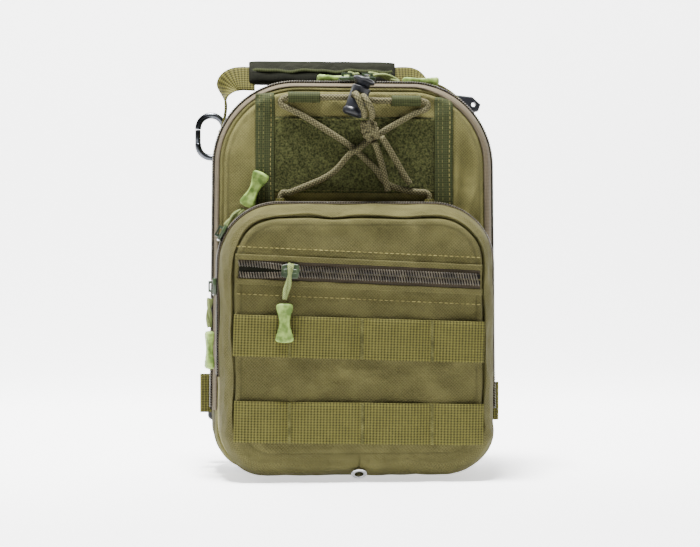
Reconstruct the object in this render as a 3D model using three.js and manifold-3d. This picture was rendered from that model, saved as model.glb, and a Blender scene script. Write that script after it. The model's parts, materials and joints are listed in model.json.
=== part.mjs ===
// Sling bag in millimetres. X runs to the wearer's left (the viewer's right), Y away from the
// viewer and Z up. The origin is the middle of the flat base of the rear shell.
import * as THREE from 'three';
import { mergeVertices } from 'three/addons/utils/BufferGeometryUtils.js';
import Module from 'manifold-3d';

const wasm = await Module();
wasm.setup();

// ---- driving dimensions -------------------------------------------------------------------

const webbing = 25; // width of the standard webbing rows
const gap = 0.3; // clearance between sewn pieces
const wall = 3; // thickness of a padded cloth wall
const far = 400; // reach of the cutting blocks

const body = { halfWidth: 91, bottom: 0, top: 246, bottomRadius: 26, topRadius: 34 };
const pocket = { halfWidth: 84, bottom: 2.5, top: 168, bottomRadius: 30, topRadius: 36 };
const front = { bottom: 0.6 }; // the front panel clears the surface it stands over
const depth = {
  pocketFace: -70,
  pocketSeam: -41,
  panelFace: -29,
  zip: -18,
  back: 31,
};
const fold = 60; // height of the line that the pocket flap folds about
const zipEnd = { main: 40, pocket: 62 }; // height where each zipper stops
const band = { width: 2, proud: 2 }; // one half of a zipper, beside the seam
const cordRadius = 2;

// ---- materials ----------------------------------------------------------------------------

function material(color, roughness, metalness = 0) {
  return new THREE.MeshStandardMaterial({ color, roughness, metalness });
}

const look = {
  cloth: material('#7a7048', 0.9),
  lining: material('#5d5a3c', 0.9),
  webbing: material('#6b6336', 0.85),
  tape: material('#5f6340', 0.85),
  fuzz: material('#565634', 1),
  zip: material('#6a6450', 0.7),
  cord: material('#6f6a4b', 0.85),
  pull: material('#95a066', 0.55),
  plastic: material('#16181c', 0.35),
  gunmetal: material('#3c3e42', 0.3, 1),
  silver: material('#b9bbbd', 0.25, 1),
};

// ---- geometry helpers ---------------------------------------------------------------------

function solidOf(geometry) {
  const bare = new THREE.BufferGeometry();
  bare.setAttribute('position', geometry.getAttribute('position').clone());
  if (geometry.index) bare.setIndex(geometry.index.clone());
  const merged = mergeVertices(bare, 1e-4);
  return new wasm.Manifold(new wasm.Mesh({
    numProp: 3,
    vertProperties: new Float32Array(merged.getAttribute('position').array),
    triVerts: new Uint32Array(merged.index.array),
  }));
}

function geometryOf(solid) {
  const mesh = solid.getMesh();
  const geometry = new THREE.BufferGeometry();
  geometry.setAttribute('position', new THREE.BufferAttribute(mesh.vertProperties, 3));
  geometry.setIndex(new THREE.BufferAttribute(mesh.triVerts, 1));
  geometry.computeVertexNormals();
  return geometry;
}

function block(x0, x1, y0, y1, z0, z1) {
  const geometry = new THREE.BoxGeometry(x1 - x0, y1 - y0, z1 - z0);
  geometry.translate((x0 + x1) / 2, (y0 + y1) / 2, (z0 + z1) / 2);
  return geometry;
}

// The rounded outline of a bag wall in the XZ plane, grown outwards by offset.
function archShape(size, offset = 0) {
  const x = size.halfWidth + offset;
  const low = size.bottom - offset;
  const high = size.top + offset;
  const lowRadius = size.bottomRadius + offset;
  const highRadius = size.topRadius + offset;
  const shape = new THREE.Shape();
  shape.moveTo(lowRadius - x, low);
  shape.lineTo(x - lowRadius, low);
  shape.absarc(x - lowRadius, low + lowRadius, lowRadius, -Math.PI / 2, 0);
  shape.lineTo(x, high - highRadius);
  shape.absarc(x - highRadius, high - highRadius, highRadius, 0, Math.PI / 2);
  shape.lineTo(highRadius - x, high);
  shape.absarc(highRadius - x, high - highRadius, highRadius, Math.PI / 2, Math.PI);
  shape.lineTo(-x, low + lowRadius);
  shape.absarc(lowRadius - x, low + lowRadius, lowRadius, Math.PI, 1.5 * Math.PI);
  return shape;
}

// A shape drawn in the XZ plane, made solid from y = near to y = rear, its edges rounded.
function slab(shape, near, rear, rounding = 0) {
  const geometry = new THREE.ExtrudeGeometry(shape, {
    depth: rear - near - 2 * rounding,
    bevelEnabled: rounding > 0,
    bevelThickness: rounding,
    bevelSize: rounding,
    bevelOffset: -rounding,
    bevelSegments: rounding > 5 ? 3 : 2,
    curveSegments: 4,
  });
  geometry.rotateX(Math.PI / 2);
  geometry.translate(0, rear - rounding, 0);
  return geometry;
}

// A shape drawn in the XY plane, made solid upwards from z = low to z = high.
function column(shape, low, high) {
  const geometry = new THREE.ExtrudeGeometry(shape, {
    depth: high - low,
    bevelEnabled: false,
  });
  geometry.translate(0, 0, low);
  return geometry;
}

function polygon(points) {
  return new THREE.Shape(points.map(([x, y]) => new THREE.Vector2(x, y)));
}

function roundedRectangle(x0, x1, y0, y1, radius) {
  const shape = new THREE.Shape();
  shape.moveTo(x0 + radius, y0);
  shape.lineTo(x1 - radius, y0);
  shape.absarc(x1 - radius, y0 + radius, radius, -Math.PI / 2, 0);
  shape.lineTo(x1, y1 - radius);
  shape.absarc(x1 - radius, y1 - radius, radius, 0, Math.PI / 2);
  shape.lineTo(x0 + radius, y1);
  shape.absarc(x0 + radius, y1 - radius, radius, Math.PI / 2, Math.PI);
  shape.lineTo(x0, y0 + radius);
  shape.absarc(x0 + radius, y0 + radius, radius, Math.PI, 1.5 * Math.PI);
  return shape;
}

// A round rod or cord along a smooth curve through points.
function tube(points, radius, steps, sides = 8, closed = false) {
  const curve = new THREE.CatmullRomCurve3(
    points.map(([x, y, z]) => new THREE.Vector3(x, y, z)),
    closed,
  );
  const circle = new THREE.Shape();
  circle.absarc(0, 0, radius, 0, 2 * Math.PI);
  return new THREE.ExtrudeGeometry(circle, {
    steps,
    extrudePath: curve,
    curveSegments: sides / 2, // an arc is drawn with two pieces for each curve segment
    bevelEnabled: false,
  });
}

// A webbing ribbon whose edge follows points in the XZ plane, thick mm to one side of them.
function ribbonShape(points, thick) {
  const line = points.map(([x, z]) => new THREE.Vector2(x, z));
  const outer = line.map((point, i) => {
    const before = line[Math.max(i - 1, 0)];
    const after = line[Math.min(i + 1, line.length - 1)];
    const along = after.clone().sub(before).normalize();
    return point.clone().add(new THREE.Vector2(-along.y, along.x).multiplyScalar(thick));
  });
  return new THREE.Shape([...line, ...outer.reverse()]);
}

function mesh(name, geometry, surface) {
  const made = new THREE.Mesh(geometry, surface);
  made.name = name;
  return made;
}

function cut(geometry, ...tools) {
  return geometryOf(tools.reduce((left, tool) => left.subtract(solidOf(tool)), solidOf(geometry)));
}

function join(...geometries) {
  return geometryOf(geometries.map(solidOf).reduce((sum, next) => sum.add(next)));
}

// ---- main body ----------------------------------------------------------------------------

const inset = -wall; // the inner face of a wall is its outline, drawn in by the wall

function rearShell() {
  const rounding = 12;
  const outer = slab(archShape(body), depth.zip - 2 * rounding, depth.back, rounding);
  const hollow = slab(archShape(body, inset), -far, depth.back - wall, rounding - wall);
  const open = block(-far, far, -far, depth.zip + gap, -far, far);
  return mesh('rear_shell', cut(outer, hollow, open), look.cloth);
}

function backPad() {
  const size = { halfWidth: 65, bottom: 22, top: 226, bottomRadius: 18, topRadius: 24 };
  const pad = slab(archShape(size), depth.back + gap, depth.back + 7, 2.5);
  return mesh('back_pad', pad, look.lining);
}

// One half of a zipper, a raised band round an outline, stopping at the height end.
function zipBand(name, outline, near, end) {
  const outer = slab(archShape(outline, gap + band.proud), near, near + band.width);
  const inner = slab(archShape(outline, gap), near - 1, near + band.width + 1);
  const below = block(-far, far, -far, far, -far, end);
  return mesh(name, cut(outer, inner, below), look.zip);
}

function frontPanel() {
  const rounding = 7;
  const outline = { ...body, bottom: front.bottom };
  const outer = slab(archShape(outline), depth.panelFace, depth.zip + 3 * rounding, rounding);
  const hollow = slab(archShape(outline, inset), depth.panelFace + wall, far, rounding - wall);
  const open = block(-far, far, depth.zip - gap, far, -far, far);
  return mesh('front_panel', cut(outer, hollow, open), look.cloth);
}

// ---- front pocket -------------------------------------------------------------------------

function pocketBase() {
  const near = depth.pocketSeam + gap;
  const rear = depth.panelFace - gap;
  const outer = slab(archShape(pocket), near, rear);
  const inner = slab(archShape(pocket, inset), near - 1, rear + 1);
  return mesh('pocket_base', cut(outer, inner), look.cloth);
}

const pocketRounding = 9; // radius of the edge between the pocket's face and its gusset

// The pocket's face and gusset, kept on one side of the fold line.
function pocketShell(name, low, high) {
  const rounding = pocketRounding;
  const outer = slab(archShape(pocket), depth.pocketFace, depth.panelFace, rounding);
  const hollow = slab(archShape(pocket, inset), depth.pocketFace + wall, far, rounding - wall);
  const open = block(-far, far, depth.pocketSeam - gap, far, -far, far);
  const below = block(-far, far, -far, far, -far, low);
  const above = block(-far, far, -far, far, high, 2 * far);
  return [name, outer, [hollow, open, below, above]];
}

function pocketFlap() {
  const [name, outer, tools] = pocketShell('pocket_flap', fold + gap, far);
  return mesh(name, cut(outer, ...tools), look.cloth);
}

// The eyelet sits on the rounded lower front edge, so its axis leans from the edge's centre line.
const grommet = { y: depth.pocketFace + pocketRounding, z: pocket.bottom + pocketRounding, lean: 0.84 };

// Places something made along local -Z from the rounded edge's centre line.
function onLowerEdge(geometry) {
  return geometry.rotateX(grommet.lean - Math.PI / 2).translate(0, grommet.y, grommet.z);
}

function pocketLower() {
  const [name, outer, tools] = pocketShell('pocket_lower', -far / 2, fold - gap);
  const seat = turned([[0, -14], [3.6, -14], [3.6, -2], [0, -2]], 16);
  return mesh(name, cut(outer, ...tools, onLowerEdge(seat)), look.cloth);
}

// The drain eyelet: a neck through the cloth and a flange outside it.
function drainGrommet() {
  const profile = [[2.7, -4.6], [3.3, -4.6], [3.3, -9.3], [5, -9.3], [4.6, -10], [2.7, -10]];
  const eyelet = turned([...profile.reverse(), profile[0]], 20);
  return mesh('drain_grommet', geometryOf(solidOf(onLowerEdge(eyelet))), look.silver);
}

// A webbing row sewn down at its bar tacks, with a raised loop between each pair.
function webbingRow(name, height, tilt, tacks) {
  const half = 74;
  const face = depth.pocketFace - gap;
  const points = [[-half, face], [-half, face - 1.1]];
  const stops = [-half, ...tacks, half];
  for (let i = 0; i + 1 < stops.length; i += 1) {
    points.push([stops[i] + 3, face - 1.1], [stops[i] + 6, face - 2.2]);
    points.push([stops[i + 1] - 6, face - 2.2], [stops[i + 1] - 3, face - 1.1]);
  }
  points.push([half, face - 1.1], [half, face]);
  const row = column(polygon(points.reverse()), -webbing / 2, webbing / 2);
  const made = mesh(name, geometryOf(solidOf(row)), look.webbing);
  made.position.z = height;
  made.rotation.y = tilt;
  return made;
}

const face = { zip: 125.5, zipTilt: 0.045, upper: 86.5, upperTilt: 0.032, lower: 35.5, lowerTilt: 0.018 };
const tacks = [-42.5, 1.5, 44];

function faceZipHalf(name, side) {
  const near = depth.pocketFace - gap - 1.6;
  const rear = depth.pocketFace - gap;
  const low = side > 0 ? 0.4 : -5.6;
  const half = mesh(name, block(-73.5, 73.5, near, rear, low, low + 5.2), look.zip);
  half.position.z = face.zip;
  half.rotation.y = face.zipTilt;
  return half;
}

// ---- panel trim ---------------------------------------------------------------------------

const trimThick = 1.2;

function panelTrim(name, x0, x1, z0, z1, surface) {
  const rear = depth.panelFace - gap;
  const patch = slab(polygon([[x0, z0], [x1, z0], [x1, z1], [x0, z1]]), rear - trimThick, rear);
  return mesh(name, patch, surface);
}

const sleeve = { inner: 2.45, outer: 3.3, y: -32.8 };

// A webbing channel sewn along the top edge, for the lacing cord to run through.
function cordSleeve(name, x0, x1, z) {
  const length = x1 - x0;
  const outer = new THREE.CylinderGeometry(sleeve.outer, sleeve.outer, length, 14);
  const inner = new THREE.CylinderGeometry(sleeve.inner, sleeve.inner, length + 2, 14);
  const made = mesh(name, cut(outer, inner), look.webbing);
  made.rotation.z = Math.PI / 2;
  made.position.set((x0 + x1) / 2, sleeve.y, z);
  return made;
}

// A short sewn loop that holds the lower end of the lacing cord.
function cordLoop(name, x) {
  const outer = block(x - 3.6, x + 3.6, -36.4, depth.panelFace - gap, 169.6, 172.6);
  const hole = new THREE.CylinderGeometry(2.35, 2.35, 8, 12).rotateX(Math.PI / 2);
  hole.translate(x, -33, 171);
  return mesh(name, cut(outer, hole), look.webbing);
}

// ---- lacing cord and cord lock ------------------------------------------------------------

const lock = { x: 1.5, y: -41, z: 236, tilt: 0.35, radius: 6.75, spread: 2.15 };

const lacingRight = [
  [4.9, -47, 223.6], [4.2, -51.8, 226.2], [2.2, -54.8, 229.6], [0.2, -55.4, 233.8],
  [-0.7, -52, 236.7], [-0.7, -44, 236.8], [-0.7, -38, 236.8], [-2.4, -33.9, 236.7],
  [-7, -32.8, 236.5], [-15, -32.8, 236.5], [-22, -32.8, 236.5], [-32, -32.8, 236.5],
  [-42, -32.8, 236.4], [-46.2, -32.8, 234.6], [-45.4, -32.9, 231.2], [-40, -33, 228.8],
  [-30, -33, 223.3], [-15, -33, 214], [-3.4, -33, 206.3], [6, -33, 198.2], [13, -33, 191.4],
  [20, -33, 182.6], [30, -33, 178.8], [39, -33, 177.4], [44.6, -33, 177], [46.8, -33, 174.6],
  [46.8, -33, 171.4], [46.8, -33, 169],
];
const lacingLeft = [
  [9.6, -47, 223], [9.2, -51.8, 225.6], [7.6, -54.8, 228.8], [5.4, -55.4, 232.4],
  [3.9, -52, 235.1], [3.8, -44, 235.2], [3.8, -38, 235.2], [5.8, -33.9, 235],
  [10, -32.8, 234.8], [16, -32.8, 234.6], [23, -32.8, 234.6], [32, -32.8, 234.6],
  [41.6, -32.8, 234.6], [45.8, -32.8, 232.8], [44.6, -32.9, 229.4], [38, -33, 227],
  [28, -33, 221.4], [16, -33, 214.2], [8.6, -33.6, 209.2], [1.4, -37.4, 203.6],
  [-4, -37.4, 200.2], [-12, -34.6, 191], [-20, -33.2, 185.6], [-32, -33, 180.4],
  [-41, -33, 176.8], [-45, -33, 176.6], [-46.6, -33, 174.4], [-46.6, -33, 171.4], [-46.6, -33, 169],
];
const tailNear = [
  [11.2, -43, 207.9], [13, -40.4, 204.4], [15, -38.6, 199], [16.8, -37.8, 193], [18.2, -37.7, 187],
  [19.4, -37.7, 181.6], [20.4, -37.7, 177.4],
];
const tailFar = [
  [16, -43, 210.8], [19, -40.6, 206.6], [22.4, -38.8, 201.4], [25.8, -37, 196],
  [29, -35.6, 190.8], [32.2, -34.6, 185.8], [34.6, -34, 182.4],
];

function inLock(made) {
  made.rotation.y = lock.tilt;
  made.position.set(lock.x, lock.y, lock.z);
  return made;
}

// A turned profile along local Z: pairs of radius and height, from axis to axis.
function turned(profile, sides = 20) {
  const points = profile.map(([radius, height]) => new THREE.Vector2(radius, height));
  return new THREE.LatheGeometry(points, sides).rotateX(Math.PI / 2);
}

function lockBarrel() {
  const barrel = turned([
    [0, -12.5], [6, -12.5], [6.75, -11.6], [6.75, -8.4], [6.1, -7.8], [6.1, 5.6],
    [6.5, 6.2], [6.5, 7], [4.9, 7], [4.9, 3.2], [0, 3.2],
  ]);
  const passage = block(-4.9, 4.9, -10, 10, -2.8, 2.8);
  return inLock(mesh('lock_barrel', cut(barrel, passage), look.plastic));
}

function lockButton() {
  const button = turned([
    [0, 6.4], [4.5, 6.4], [4.5, 10], [6.6, 10.2], [6.75, 11.6], [5.6, 12.6], [0, 12.9],
  ]);
  return inLock(mesh('lock_button', geometryOf(solidOf(button)), look.plastic));
}

function cordKnot() {
  const knot = turned([
    [0, -6.6], [3.4, -6], [5.2, -3.4], [5.6, 0], [5.2, 3.4], [3.4, 5.8], [0, 6.4],
  ], 16);
  const made = mesh('cord_knot', geometryOf(solidOf(knot)), look.cord);
  made.position.set(8.6, -43.2, 215.4);
  made.rotation.y = -0.35;
  return made;
}

function cord(name, points, steps) {
  return mesh(name, tube(points, cordRadius, steps), look.cord);
}

// ---- zipper sliders and pulls -------------------------------------------------------------

// A slider with its bridge, lying in its own XZ plane: it travels along X and faces -Y.
function sliderGeometry() {
  const plate = slab(polygon([
    [-5.2, -3.4], [-1, -4.6], [4.8, -4.2], [5.6, 0], [4.8, 4.2], [-1, 4.6], [-5.2, 3.4],
  ]), -2.2, 0, 0.4);
  const bridge = slab(polygon([[-3.6, -1.1], [3.6, -1.1], [3.6, 1.1], [-3.6, 1.1]]), -5, -2);
  const eye = block(-2, 2, -3.9, -2.2, -3, 3);
  return cut(join(plate, bridge), eye);
}

function slider(name, position, rotation) {
  const made = mesh(name, sliderGeometry(), look.pull);
  made.position.set(...position);
  made.rotation.set(...rotation);
  return made;
}

const grip = { length: 24, width: 11, waist: 8, thick: 5.4 };

// The moulded grip, waisted in the middle, hanging down its own -Z from the origin.
function gripGeometry() {
  const half = grip.width / 2;
  const waist = grip.waist / 2;
  const shape = new THREE.Shape();
  shape.moveTo(-half + 0.8, 0);
  shape.bezierCurveTo(-half + 0.6, -4, -waist, -8, -waist, -grip.length / 2);
  shape.bezierCurveTo(-waist, -16, -half, -20, -half, -grip.length);
  shape.lineTo(half, -grip.length);
  shape.bezierCurveTo(half, -20, waist, -16, waist, -grip.length / 2);
  shape.bezierCurveTo(waist, -8, half - 0.6, -4, half - 0.8, 0);
  return slab(shape, -grip.thick / 2, grip.thick / 2, 0.8);
}

// A pull: its cord along points, which start on the slider, and a grip at the cord's end.
function pull(name, points, gripTurn) {
  const cordPart = mesh(`${name}_cord`, tube(points, 1.7, 10), look.pull);
  const gripPart = mesh(`${name}_grip`, gripGeometry(), look.pull);
  const last = new THREE.Vector3(...points[points.length - 1]);
  gripPart.rotation.set(...gripTurn, 'YXZ');
  const below = new THREE.Vector3(0, 0, -2.1).applyEuler(gripPart.rotation);
  gripPart.position.copy(last.add(below));
  return [cordPart, gripPart];
}

// ---- carry handle -------------------------------------------------------------------------

const handle = { x0: -66, x1: 30, y: 14, z: 252, tilt: -0.35 };

function handleGrip() {
  const pad = slab(roundedRectangle(handle.x0, handle.x1, -3, 14, 3), -4, 4, 2.4);
  const made = mesh('handle_grip', pad, look.lining);
  made.position.set(0, handle.y, handle.z);
  made.rotation.x = handle.tilt;
  return made;
}

// The webbing at one end of the grip, between the grip and its sewn anchor.
function handleEnd(name, points) {
  const made = mesh(name, slab(ribbonShape(points, 1.6), -8, 8), look.webbing);
  made.position.set(0, handle.y, 0);
  return made;
}

function handleAnchor(name, points) {
  const made = mesh(name, slab(ribbonShape(points, 1.8), -10, 10), look.webbing);
  made.position.set(0, handle.y, 0);
  return made;
}

// ---- ring, hook, tabs and strap -----------------------------------------------------------

const ring = { x: -91, y: 35.6, z: 217, halfWidth: 8.6, straight: 5, tube: 2.1 };

// The ring is open on its left straight side, where the gate closes it.
function ringBody() {
  const points = [[-ring.halfWidth, -ring.straight]];
  const bend = (middle, from) => {
    for (let i = 0; i <= 8; i += 1) {
      const angle = from + (Math.PI * i) / 8;
      points.push([ring.halfWidth * Math.cos(angle), middle + ring.halfWidth * Math.sin(angle)]);
    }
  };
  bend(-ring.straight - 0.4, Math.PI);
  bend(ring.straight + 0.4, 0);
  points.push([-ring.halfWidth, ring.straight]);
  const route = points.map(([x, z]) => [x, 0, z]);
  const made = mesh('ring_body', tube(route, ring.tube, 30, 12), look.gunmetal);
  made.position.set(ring.x, ring.y, ring.z);
  return made;
}

function ringGate() {
  const radius = ring.tube - 0.3;
  const length = 2 * ring.straight - 1.3;
  const gate = new THREE.CylinderGeometry(radius, radius, length, 14).rotateX(Math.PI / 2);
  const made = mesh('ring_gate', gate, look.gunmetal);
  made.position.set(ring.x - ring.halfWidth, ring.y, ring.z - 0.35);
  return made;
}

// A webbing tab sewn to the back, with a passage that the ring runs through.
function ringTab() {
  const outer = block(-87, -77.8, depth.back + gap, 39.2, 212.6, 221.4);
  const passage = block(-85.6, -79.2, 32.8, 38.3, 205, 227);
  return mesh('ring_tab', cut(outer, passage), look.webbing);
}

function lowerTab(name, side, z) {
  const inner = body.halfWidth + gap;
  const outer = inner + 6.6;
  const x0 = side > 0 ? inner : -outer;
  const tab = slab(roundedRectangle(x0, x0 + 6.6, z, z + webbing, 1), 8, 11);
  return mesh(name, tab, look.webbing);
}

// The socket half of the side-release buckle, open at the top.
function buckleFemale() {
  const outer = slab(roundedRectangle(-93, -67, 29, 51, 3), 32, 41, 1.2);
  const socket = block(-89.5, -70.5, 33.8, 39.4, 34, 60);
  return mesh('buckle_female', cut(outer, socket), look.plastic);
}

function strapPad() {
  const size = { halfWidth: 30, bottom: 92, top: 224, bottomRadius: 14, topRadius: 14 };
  return mesh('strap_pad', slab(archShape(size), 39.5, 47.5, 2.5), look.lining);
}

// Webbing from the pad's lower end to the loose half of the buckle.
function strapWebbing() {
  const points = [[-12, 91.4], [-34, 80], [-58, 75], [-80, 73.8]];
  return mesh('strap_webbing', slab(ribbonShape(points, 1.7), 39, 46.6), look.webbing);
}

// The plug half of the buckle: a bar for the webbing and two sprung prongs.
function buckleMale() {
  const plate = slab(roundedRectangle(-88.6, -71.4, 66.4, 72.8, 1.4), 34.4, 38.6);
  const prongs = [-87.6, -75].map((x) => slab(roundedRectangle(x, x + 2.6, 56, 67, 1.2), 35, 38));
  const spine = slab(roundedRectangle(-82, -79.4, 56, 67, 1.2), 35, 38);
  return mesh('buckle_male', join(plate, ...prongs, spine), look.plastic);
}

// The black plastic hook that holds the strap's upper end, at the right.
function strapHook() {
  const shape = polygon([[62, 234], [76, 232], [88, 235], [89.5, 239.6], [84, 244.6], [62, 247]]);
  const plate = slab(shape, 33, 38.6, 1);
  const hole = new THREE.CylinderGeometry(1.5, 1.5, 20, 12).translate(84.6, 36, 239.4);
  const slot = block(64.5, 67.5, 20, 50, 237, 244);
  return mesh('strap_hook', cut(plate, hole, slot), look.plastic);
}

function strapTop() {
  const points = [[22, 224.4], [40, 232], [61.4, 236]];
  return mesh('strap_top', slab(ribbonShape(points, 2), 39, 46), look.webbing);
}

// ---- assembly -----------------------------------------------------------------------------

function group(name, members) {
  const made = new THREE.Group();
  made.name = name;
  made.add(...members);
  return made;
}

const rear = group('bag', [
  rearShell(),
  backPad(),
  zipBand('main_zip_rear', body, depth.zip + 0.5, zipEnd.main),
  handleAnchor('handle_anchor_left', [[-91.4, 214], [-91.4, 232], [-90.6, 241], [-89, 246.2]]),
  handleAnchor('handle_anchor_right', [[58.6, 247.8], [67.8, 245.1], [74.2, 242], [79.4, 238.7]]),
  ringTab(),
  lowerTab('lower_tab_left', -1, 36),
  lowerTab('lower_tab_right', 1, 30),
  buckleFemale(),
]);

const panel = group('front', [
  frontPanel(),
  zipBand('main_zip_front', body, depth.zip - 0.5 - band.width, zipEnd.main),
  panelTrim('loop_panel', -50, 50.2, 177, 224, look.fuzz),
  panelTrim('side_tape_left', -62, -50.7, 169, 239, look.tape),
  panelTrim('side_tape_right', 50.9, 62, 169, 237, look.tape),
  cordSleeve('cord_sleeve_left', -42, -22, 236.5),
  cordSleeve('cord_sleeve_right', 23, 41.6, 234.6),
  cordLoop('cord_loop_left', -46.6),
  cordLoop('cord_loop_right', 46.8),
  cord('lacing_right', lacingRight, 60),
  cord('lacing_left', lacingLeft, 60),
  cordKnot(),
  cord('tail_near', tailNear, 16),
  cord('tail_far', tailFar, 16),
  pocketBase(),
  zipBand('pocket_zip_rear', pocket, depth.pocketSeam + 0.5, zipEnd.pocket),
  pocketLower(),
  drainGrommet(),
  webbingRow('molle_lower', face.lower, face.lowerTilt, tacks),
]);

const flap = group('flap', [
  pocketFlap(),
  zipBand('pocket_zip_front', pocket, depth.pocketSeam - 0.5 - band.width, zipEnd.pocket),
  webbingRow('molle_upper', face.upper, face.upperTilt, tacks),
  faceZipHalf('face_zip_upper', 1),
  faceZipHalf('face_zip_lower', -1),
]);

const quarter = Math.PI / 2;
const clear = gap + band.proud + gap; // how far a slider's plate stands off the sewn outline
const onTop = body.top + clear;

// Where the upper pocket slider sits on the pocket's rounded corner, and its turn there.
const cornerAngle = 2.64;
const corner = {
  x: pocket.topRadius - pocket.halfWidth + (pocket.topRadius + clear) * Math.cos(cornerAngle),
  z: pocket.top - pocket.topRadius + (pocket.topRadius + clear) * Math.sin(cornerAngle),
};

const sliders = group('sliders', [
  slider('main_slider_left', [-4, depth.zip, onTop], [quarter, 0, Math.PI]),
  ...pull(
    'main_left',
    [[-2.6, -14.6, 253.2], [2.4, -12.4, 253.2], [3.2, -6, 251.2]],
    [0, quarter, quarter],
  ),
  slider('main_slider_right', [9, depth.zip, onTop], [quarter, 0, Math.PI]),
  ...pull(
    'main_right',
    [[10.4, -14.4, 253.2], [19, -12, 253], [30, -9.4, 249.6]],
    [0, -quarter, quarter],
  ),
  slider('face_slider', [-42, -72.2, 127.4], [0, face.zipTilt, 0]),
  ...pull('face_pull', [[-43, -76.4, 121], [-44.5, -77, 115.6], [-45.5, -77, 110.4]], [0, 0, 0]),
  slider('pocket_slider_upper', [corner.x, depth.pocketSeam, corner.z], [quarter, 0, -2.07]),
  ...pull(
    'pocket_upper',
    [[-80.6, -34.2, 155.6], [-76.4, -34, 161.4], [-69.4, -34, 165.8]],
    [0, 3.6, 0],
  ),
  slider('pocket_slider_side', [-pocket.halfWidth - clear, depth.pocketSeam, 118], [quarter, 0, -quarter]),
  ...pull(
    'pocket_side',
    [[-90.4, -41.4, 110.6], [-91.2, -42, 103], [-90.8, -42, 92.8]],
    [0, 0, -1.35],
  ),
]);

const cordLock = group('cord_lock', [lockBarrel(), lockButton()]);

const carryHandle = group('handle', [
  handleGrip(),
  handleEnd('handle_end_left', [[-87.4, 249], [-86, 254.6], [-80, 257.6], [-66.6, 258.4]]),
  handleEnd('handle_end_right', [[30.6, 258.4], [44, 256.4], [56, 251.4]]),
]);

const snapRing = group('snap_ring', [ringBody(), ringGate()]);

const strap = group('strap', [
  strapPad(), strapWebbing(), buckleMale(), strapHook(), strapTop(),
]);

export default group('sling_bag', [
  rear, panel, flap, sliders, cordLock, carryHandle, snapRing, strap,
]);
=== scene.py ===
"""The looks of a small olive sling bag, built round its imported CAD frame. Metres, +Z up, -Y is the front."""

import json
from math import acos, atan2, cos, dist, pi, radians, sin

import bmesh
import bpy
import numpy as np
from mathutils import Matrix, Vector

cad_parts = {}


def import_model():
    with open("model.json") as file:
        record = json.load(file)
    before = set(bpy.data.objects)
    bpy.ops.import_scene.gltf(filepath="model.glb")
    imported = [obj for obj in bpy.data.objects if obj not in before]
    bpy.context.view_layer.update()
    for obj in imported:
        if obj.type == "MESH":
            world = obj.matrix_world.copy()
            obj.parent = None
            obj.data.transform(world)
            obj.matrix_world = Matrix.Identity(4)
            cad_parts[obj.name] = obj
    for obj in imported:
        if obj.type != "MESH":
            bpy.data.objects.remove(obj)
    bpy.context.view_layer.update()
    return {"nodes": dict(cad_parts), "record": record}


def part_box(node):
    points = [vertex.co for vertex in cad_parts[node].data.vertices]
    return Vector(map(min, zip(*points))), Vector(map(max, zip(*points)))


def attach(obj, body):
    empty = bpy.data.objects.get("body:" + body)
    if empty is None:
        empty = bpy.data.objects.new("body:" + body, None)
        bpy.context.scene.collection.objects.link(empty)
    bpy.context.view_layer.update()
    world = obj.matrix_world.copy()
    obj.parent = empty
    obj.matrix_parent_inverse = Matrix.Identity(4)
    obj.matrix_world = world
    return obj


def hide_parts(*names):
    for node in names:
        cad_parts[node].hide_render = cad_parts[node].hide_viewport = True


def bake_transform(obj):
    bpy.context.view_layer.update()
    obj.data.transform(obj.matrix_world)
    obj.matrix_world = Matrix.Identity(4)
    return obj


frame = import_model()
MM = 0.001
FRONT = np.array([0, -1.0, 0])
NEAR_FRONT = (0, -1, 0.02)  # for lines that may run straight to the front
CLOTH = 1.4 * MM  # thickness of the sewn cloth
STEP = 0.8 * MM  # spacing of the points along zippers and seams
LEAN = 0.35  # radians that the cord lock, the knot and the handle's grip lean by
SIN, COS = sin(LEAN), cos(LEAN)


# ---- places and bodies taken from the frame ----


def low(node):
    return np.array(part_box(node)[0])


def high(node):
    return np.array(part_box(node)[1])


def middle(node):
    return (low(node) + high(node)) / 2


def body_of(node):
    """The body that carries a CAD node."""
    bodies = frame["record"]["behaviour"]["bodies"]
    return next(body for body, nodes in bodies.items() if node in nodes)


def take_over(made, slot_name, *nodes):
    """A piece rides with the body of its CAD nodes and stands for them."""
    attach(made, body_of(nodes[0]))
    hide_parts(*nodes)


def take_over_bent(made, slot_name, bodies, start, end, *nodes):
    """A piece with its place baked into its mesh, which stands for its nodes."""
    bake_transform(made)
    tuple(start)
    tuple(end)
    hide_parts(*nodes)


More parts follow.
